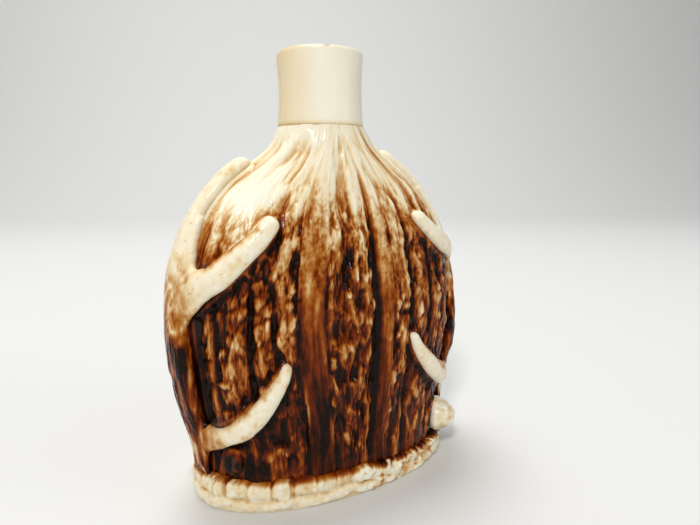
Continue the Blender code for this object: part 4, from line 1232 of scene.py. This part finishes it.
def collar(material):
    """The plain tube with its round lip, a little uneven as it came from the mould."""
    outer = NECK_DIAMETER / 2
    inner = BORE_DIAMETER / 2
    barrel = NECK_LENGTH - RIM_ROUND
    profile = []
    for share in np.linspace(0.0, 1.0, 40):
        draw_in = NECK_DRAW_IN * math.sin(math.pi * share)
        profile.append((outer - draw_in, SHOULDER_TOP + barrel * share))
    for angle in np.radians(np.linspace(0.0, 90.0, 9)[1:]):
        profile.append((
            outer - RIM_ROUND * (1 - math.cos(angle)),
            FLASK_HEIGHT - RIM_ROUND * (1 - math.sin(angle)),
        ))
    for angle in np.radians(np.linspace(90.0, 0.0, 8)):
        profile.append((
            inner + BORE_ROUND * (1 - math.cos(angle)),
            FLASK_HEIGHT - BORE_ROUND * (1 - math.sin(angle)),
        ))
    for share in np.linspace(0.1, 1.0, 8):
        profile.append((inner, FLASK_HEIGHT - BORE_ROUND - (NECK_LENGTH - BORE_ROUND) * share))
    radius, z = np.array(profile).T[:, :, None]
    turn = np.linspace(0.0, 1.0, COLLAR_COLUMNS, endpoint=False)
    x, y = oval(turn, 1.0, 1.0, 2.0)
    points = np.stack(np.broadcast_arrays(radius * x, radius * y, z), axis=-1)
    out = points * np.array((1.0, 1.0, 0.0))
    out /= np.linalg.norm(out, axis=-1, keepdims=True)
    points = points + out * (COLLAR_WAVE * point_noise(601, 2, points, 7.0))[..., None]
    lip = smooth_step(FLASK_HEIGHT - RIM_ROUND, FLASK_HEIGHT, points[..., 2])
    chip = bell((turn - CHIP_TURN) * math.pi * NECK_DIAMETER, 0.0, CHIP_WIDTH)
    chip = chip * (radius > outer - CHIP_REACH)
    points[..., 2] -= CHIP_DEPTH * chip * lip
    faces = grid_faces(len(profile), COLLAR_COLUMNS, wrap_columns=True, wrap_rows=True).tolist()
    item = new_piece("collar", points.reshape(-1, 3), faces, material)
    low = smooth_step(SHOULDER_TOP + 1.6, SHOULDER_TOP, points[..., 2])
    streak = point_noise(611, 2, points, (5.0, 5.0, 20.0))
    # Painted light: one side of the collar takes a warmer yellow tint, as if a warm lamp fell on
    # it.
    painted_warm_light = smooth_step(2.0, -12.0, points[..., 0] - 0.5 * points[..., 1])
    dye(item, 0.01 + 0.10 * low + 0.08 * painted_warm_light + 0.05 * streak + 0.06 * lip + 0.25 * chip * lip)
    hold(item, "neck_glaze", "neck_collar")


def new_material(name):
    """A material with its node tree and its shader."""
    material = bpy.data.materials.new(name)
    material.use_nodes = True
    return material, material.node_tree, material.node_tree.nodes["Principled BSDF"]


def add(tree, kind, **settings):
    """A shader node; plain names set its properties, in_ names set or link its sockets."""
    node = tree.nodes.new("ShaderNode" + kind)
    for key, value in settings.items():
        if not key.startswith("in_"):
            setattr(node, key, value)
            continue
        key = key[3:].replace("_", " ")
        socket = node.inputs[int(key) if key.isdigit() else key]
        if isinstance(value, bpy.types.NodeSocket):
            tree.links.new(value, socket)
        else:
            socket.default_value = value
    return node


def srgb(red, green, blue):
    """A colour written as on screen, turned into linear light."""
    def linear(value):
        value /= 255.0
        return value / 12.92 if value <= 0.04045 else ((value + 0.055) / 1.055) ** 2.4
    return linear(red), linear(green), linear(blue), 1.0


# Colours of the glaze by the amount of stain in it, from cream to nearly black
STAIN_RAMP = (
    (0.00, srgb(240, 236, 220)),
    (0.10, srgb(230, 211, 172)),
    (0.22, srgb(197, 154, 99)),
    (0.36, srgb(168, 104, 40)),
    (0.50, srgb(142, 69, 9)),
    (0.66, srgb(107, 39, 1)),
    (0.82, srgb(60, 19, 1)),
    (0.96, srgb(20, 8, 2)),
)
# Grey of the glaze gathered in the crooks, partly a painted grey-blue sheen
POOL_AND_SHEEN_COLOUR = srgb(70, 58, 56)
CLAY_COLOURS = (srgb(176, 150, 118), srgb(216, 196, 166))
CLAY_ROUGHNESS = 0.85
GLAZE_IOR = 1.45
GLAZE_SPECULAR = 0.14
FLECK_STRETCH = (1.0, 1.0, 0.18)
# How far flecks shift the stain on each kind of piece
HORN_FLECK = 0.16
CREAM_FLECK = 0.05
IVORY_FLECK = 0.03


def glaze(name, fleck):
    """Clear gloss over stained clay: the stain's amount runs through a colour ramp."""
    material, tree, shader = new_material(name)
    shader.inputs["IOR"].default_value = GLAZE_IOR
    shader.inputs["Specular IOR Level"].default_value = GLAZE_SPECULAR
    place = add(tree, "TexCoord").outputs["Object"]
    spread = add(tree, "Mapping", in_Vector=place, in_Scale=FLECK_STRETCH)
    grain = add(tree, "TexNoise", in_Vector=spread.outputs["Vector"],
                in_Scale=1500.0, in_Detail=4.0, in_Roughness=0.6)
    stain = add(tree, "Attribute", attribute_name="stain").outputs["Fac"]
    centred = add(tree, "Math", operation="MULTIPLY_ADD",
                  in_0=grain.outputs["Fac"], in_1=fleck * 2, in_2=-fleck)
    share = add(tree, "MapRange", in_Value=stain,
                in_From_Min=0.05, in_From_Max=0.45, in_To_Min=0.35, in_To_Max=1.0)
    flecks = add(tree, "Math", operation="MULTIPLY",
                 in_0=centred.outputs["Value"], in_1=share.outputs["Result"])
    total = add(tree, "Math", operation="ADD", in_0=stain, in_1=flecks.outputs["Value"])
    ramp = add(tree, "ValToRGB", in_Fac=total.outputs["Value"])
    elements = ramp.color_ramp.elements
    while len(elements) < len(STAIN_RAMP):
        elements.new(0.5)
    for element, (position, colour) in zip(elements, STAIN_RAMP):
        element.position = position
        element.color = colour
    # The grey gathered glaze, partly painted sheen, is mixed over the stain's colour.
    pool = add(tree, "Attribute", attribute_name="pool").outputs["Fac"]
    pool_and_sheen_mix = add(tree, "Mix", data_type="RGBA",
                 in_Factor=pool, in_A=ramp.outputs["Color"], in_B=POOL_AND_SHEEN_COLOUR)
    tree.links.new(pool_and_sheen_mix.outputs["Result"], shader.inputs["Base Color"])

    ripple = add(tree, "TexNoise", in_Vector=place,
                 in_Scale=420.0, in_Detail=3.0, in_Roughness=0.55)
    bump = add(tree, "Bump", in_Height=ripple.outputs["Fac"],
               in_Strength=0.35, in_Distance=0.10 * MM)
    tree.links.new(bump.outputs["Normal"], shader.inputs["Normal"])

    cloud = add(tree, "TexNoise", in_Vector=place, in_Scale=160.0, in_Detail=2.0)
    gloss = add(tree, "MapRange", in_Value=cloud.outputs["Fac"],
                in_From_Min=0.3, in_From_Max=0.7, in_To_Min=0.09, in_To_Max=0.22)
    tree.links.new(gloss.outputs["Result"], shader.inputs["Roughness"])
    return material


def bare_clay():
    """The unglazed underside, sandy and a little scuffed."""
    material, tree, shader = new_material("bare_clay")
    place = add(tree, "TexCoord").outputs["Object"]
    sand = add(tree, "TexNoise", in_Vector=place, in_Scale=700.0, in_Detail=6.0, in_Roughness=0.7)
    ramp = add(tree, "ValToRGB", in_Fac=sand.outputs["Fac"])
    for element, colour in zip(ramp.color_ramp.elements, CLAY_COLOURS):
        element.color = colour
    tree.links.new(ramp.outputs["Color"], shader.inputs["Base Color"])
    shader.inputs["Roughness"].default_value = CLAY_ROUGHNESS
    bump = add(tree, "Bump", in_Height=sand.outputs["Fac"], in_Strength=0.5, in_Distance=0.2 * MM)
    tree.links.new(bump.outputs["Normal"], shader.inputs["Normal"])
    return material


# The photograph's camera, fitted to the rim, neck, foot and outline
CAMERA_DISTANCE = 163.461
CAMERA_HEIGHT = 94.502
FLASK_TURN = 0.439590
CAMERA_PITCH = 0.168159
CAMERA_ROLL = -0.004792
CAMERA_YAW = 0.053463
FOCAL_PIXELS = 520.0
PHOTO_WIDTH = 700.0
SENSOR_WIDTH = 36.0


def camera():
    """Places the camera as the photograph was taken."""
    forward = np.array((
        math.sin(CAMERA_YAW) * math.cos(CAMERA_PITCH),
        math.cos(CAMERA_YAW) * math.cos(CAMERA_PITCH),
        -math.sin(CAMERA_PITCH),
    ))
    level = np.array((math.cos(CAMERA_YAW), -math.sin(CAMERA_YAW), 0.0))
    upright = np.cross(level, forward)
    right = math.cos(CAMERA_ROLL) * level + math.sin(CAMERA_ROLL) * upright
    up = -math.sin(CAMERA_ROLL) * level + math.cos(CAMERA_ROLL) * upright
    place = np.array((0.0, -CAMERA_DISTANCE, CAMERA_HEIGHT)) * MM
    columns = np.column_stack((right, up, -forward))
    turn = Matrix.Rotation(-FLASK_TURN, 4, "Z")
    pose = Matrix(columns.tolist()).to_4x4()
    pose.translation = Vector(place)
    data = bpy.data.cameras.new("camera")
    data.sensor_width = SENSOR_WIDTH
    data.lens = FOCAL_PIXELS / PHOTO_WIDTH * SENSOR_WIDTH
    data.clip_start = 0.01
    item = placed("camera", data)
    item.matrix_world = turn @ pose
    bpy.context.scene.camera = item


# The pale floor's run, bend and rise in metres, and its finish; the even sky
FLOOR_NEAR, FLOOR_FAR, FLOOR_BEND, FLOOR_RISE, FLOOR_SIDE = -3.0, 1.6, 0.7, 2.4, 4.0
FLOOR_COLOUR = (0.66, 0.66, 0.65, 1.0)
FLOOR_ROUGHNESS = 0.9
SKY_COLOUR = (0.80, 0.81, 0.83, 1.0)
SKY_STRENGTH = 0.34
FLASK_MIDDLE = (0.0, 0.0, 0.07)
PLAIN = (1.0, 1.0, 1.0)
# Lamps: name, place and edge in metres, watts, tint, and the place it faces
LAMPS = (
    ("key", (-0.75, -0.85, 1.00), 0.22, 12.5, (1.0, 0.97, 0.90), FLASK_MIDDLE),
    ("fill", (0.95, -0.85, 0.55), 0.50, 2.8, (0.93, 0.97, 1.0), FLASK_MIDDLE),
    ("top", (0.05, 0.35, 1.20), 0.50, 5.0, PLAIN, FLASK_MIDDLE),
    ("backdrop", (-0.2, 0.45, 1.9), 0.9, 22.0, PLAIN, (0.6, 1.5, 0.7)),
)


def lamp(name, place, size, power, tint, target):
    """A soft square lamp that faces its target."""
    data = bpy.data.lights.new(name, "AREA")
    data.color = tint
    data.shape = "SQUARE"
    data.size = size
    data.energy = power
    item = placed(name, data)
    item.location = place
    aim = Vector(target) - Vector(place)
    item.rotation_euler = aim.to_track_quat("-Z", "Y").to_euler()


def studio():
    """A pale floor that sweeps up into a backdrop, soft lamps and an even sky."""
    start = FLOOR_FAR - FLOOR_BEND
    outline = [(FLOOR_NEAR, 0.0), (start, 0.0)]
    for angle in np.radians(np.linspace(0.0, 90.0, 13)[1:]):
        outline.append((start + FLOOR_BEND * math.sin(angle), FLOOR_BEND * (1 - math.cos(angle))))
    outline.append((FLOOR_FAR, FLOOR_RISE))
    form = bmesh.new()
    rows = [[form.verts.new((side, along, up)) for side in (-FLOOR_SIDE, FLOOR_SIDE)]
            for along, up in outline]
    for near, far in zip(rows, rows[1:]):
        form.faces.new((near[0], near[1], far[1], far[0]))
    sweep = bpy.data.meshes.new("floor")
    form.to_mesh(sweep)
    form.free()
    sweep.shade_smooth()
    item = placed("floor", sweep)
    item.rotation_euler = (0.0, 0.0, -FLASK_TURN)
    material, _, shader = new_material("pale_floor")
    shader.inputs["Base Color"].default_value = FLOOR_COLOUR
    shader.inputs["Roughness"].default_value = FLOOR_ROUGHNESS
    sweep.materials.append(material)
    world = bpy.data.worlds.new("studio")
    bpy.context.scene.world = world
    world.use_nodes = True
    background = world.node_tree.nodes["Background"]
    background.inputs["Color"].default_value = SKY_COLOUR
    background.inputs["Strength"].default_value = SKY_STRENGTH
    for settings in LAMPS:
        lamp(*settings)
    bpy.context.scene.view_settings.view_transform = "Standard"


camera()
studio()
horn_brown = glaze("horn_brown_glaze", HORN_FLECK)
cream = glaze("cream_glaze", CREAM_FLECK)
ivory = glaze("ivory_glaze", IVORY_FLECK)
for settings in SHELLS:
    half_shell(*settings, horn_brown)
for side in ("left", "right"):
    horn_names = [key for key in HORNS if key.startswith(side) and "knob" not in key]
    antler(f"{side}_antler", horn_names, cream)
for name, seed, brown in KNOBS:
    burr_knob(name, cream, seed, brown)
coronet(cream)
collar(ivory)
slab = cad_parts["base_plate"]
slab.data.materials.clear()
slab.data.materials.append(bare_clay())

bpy.context.view_layer.update()
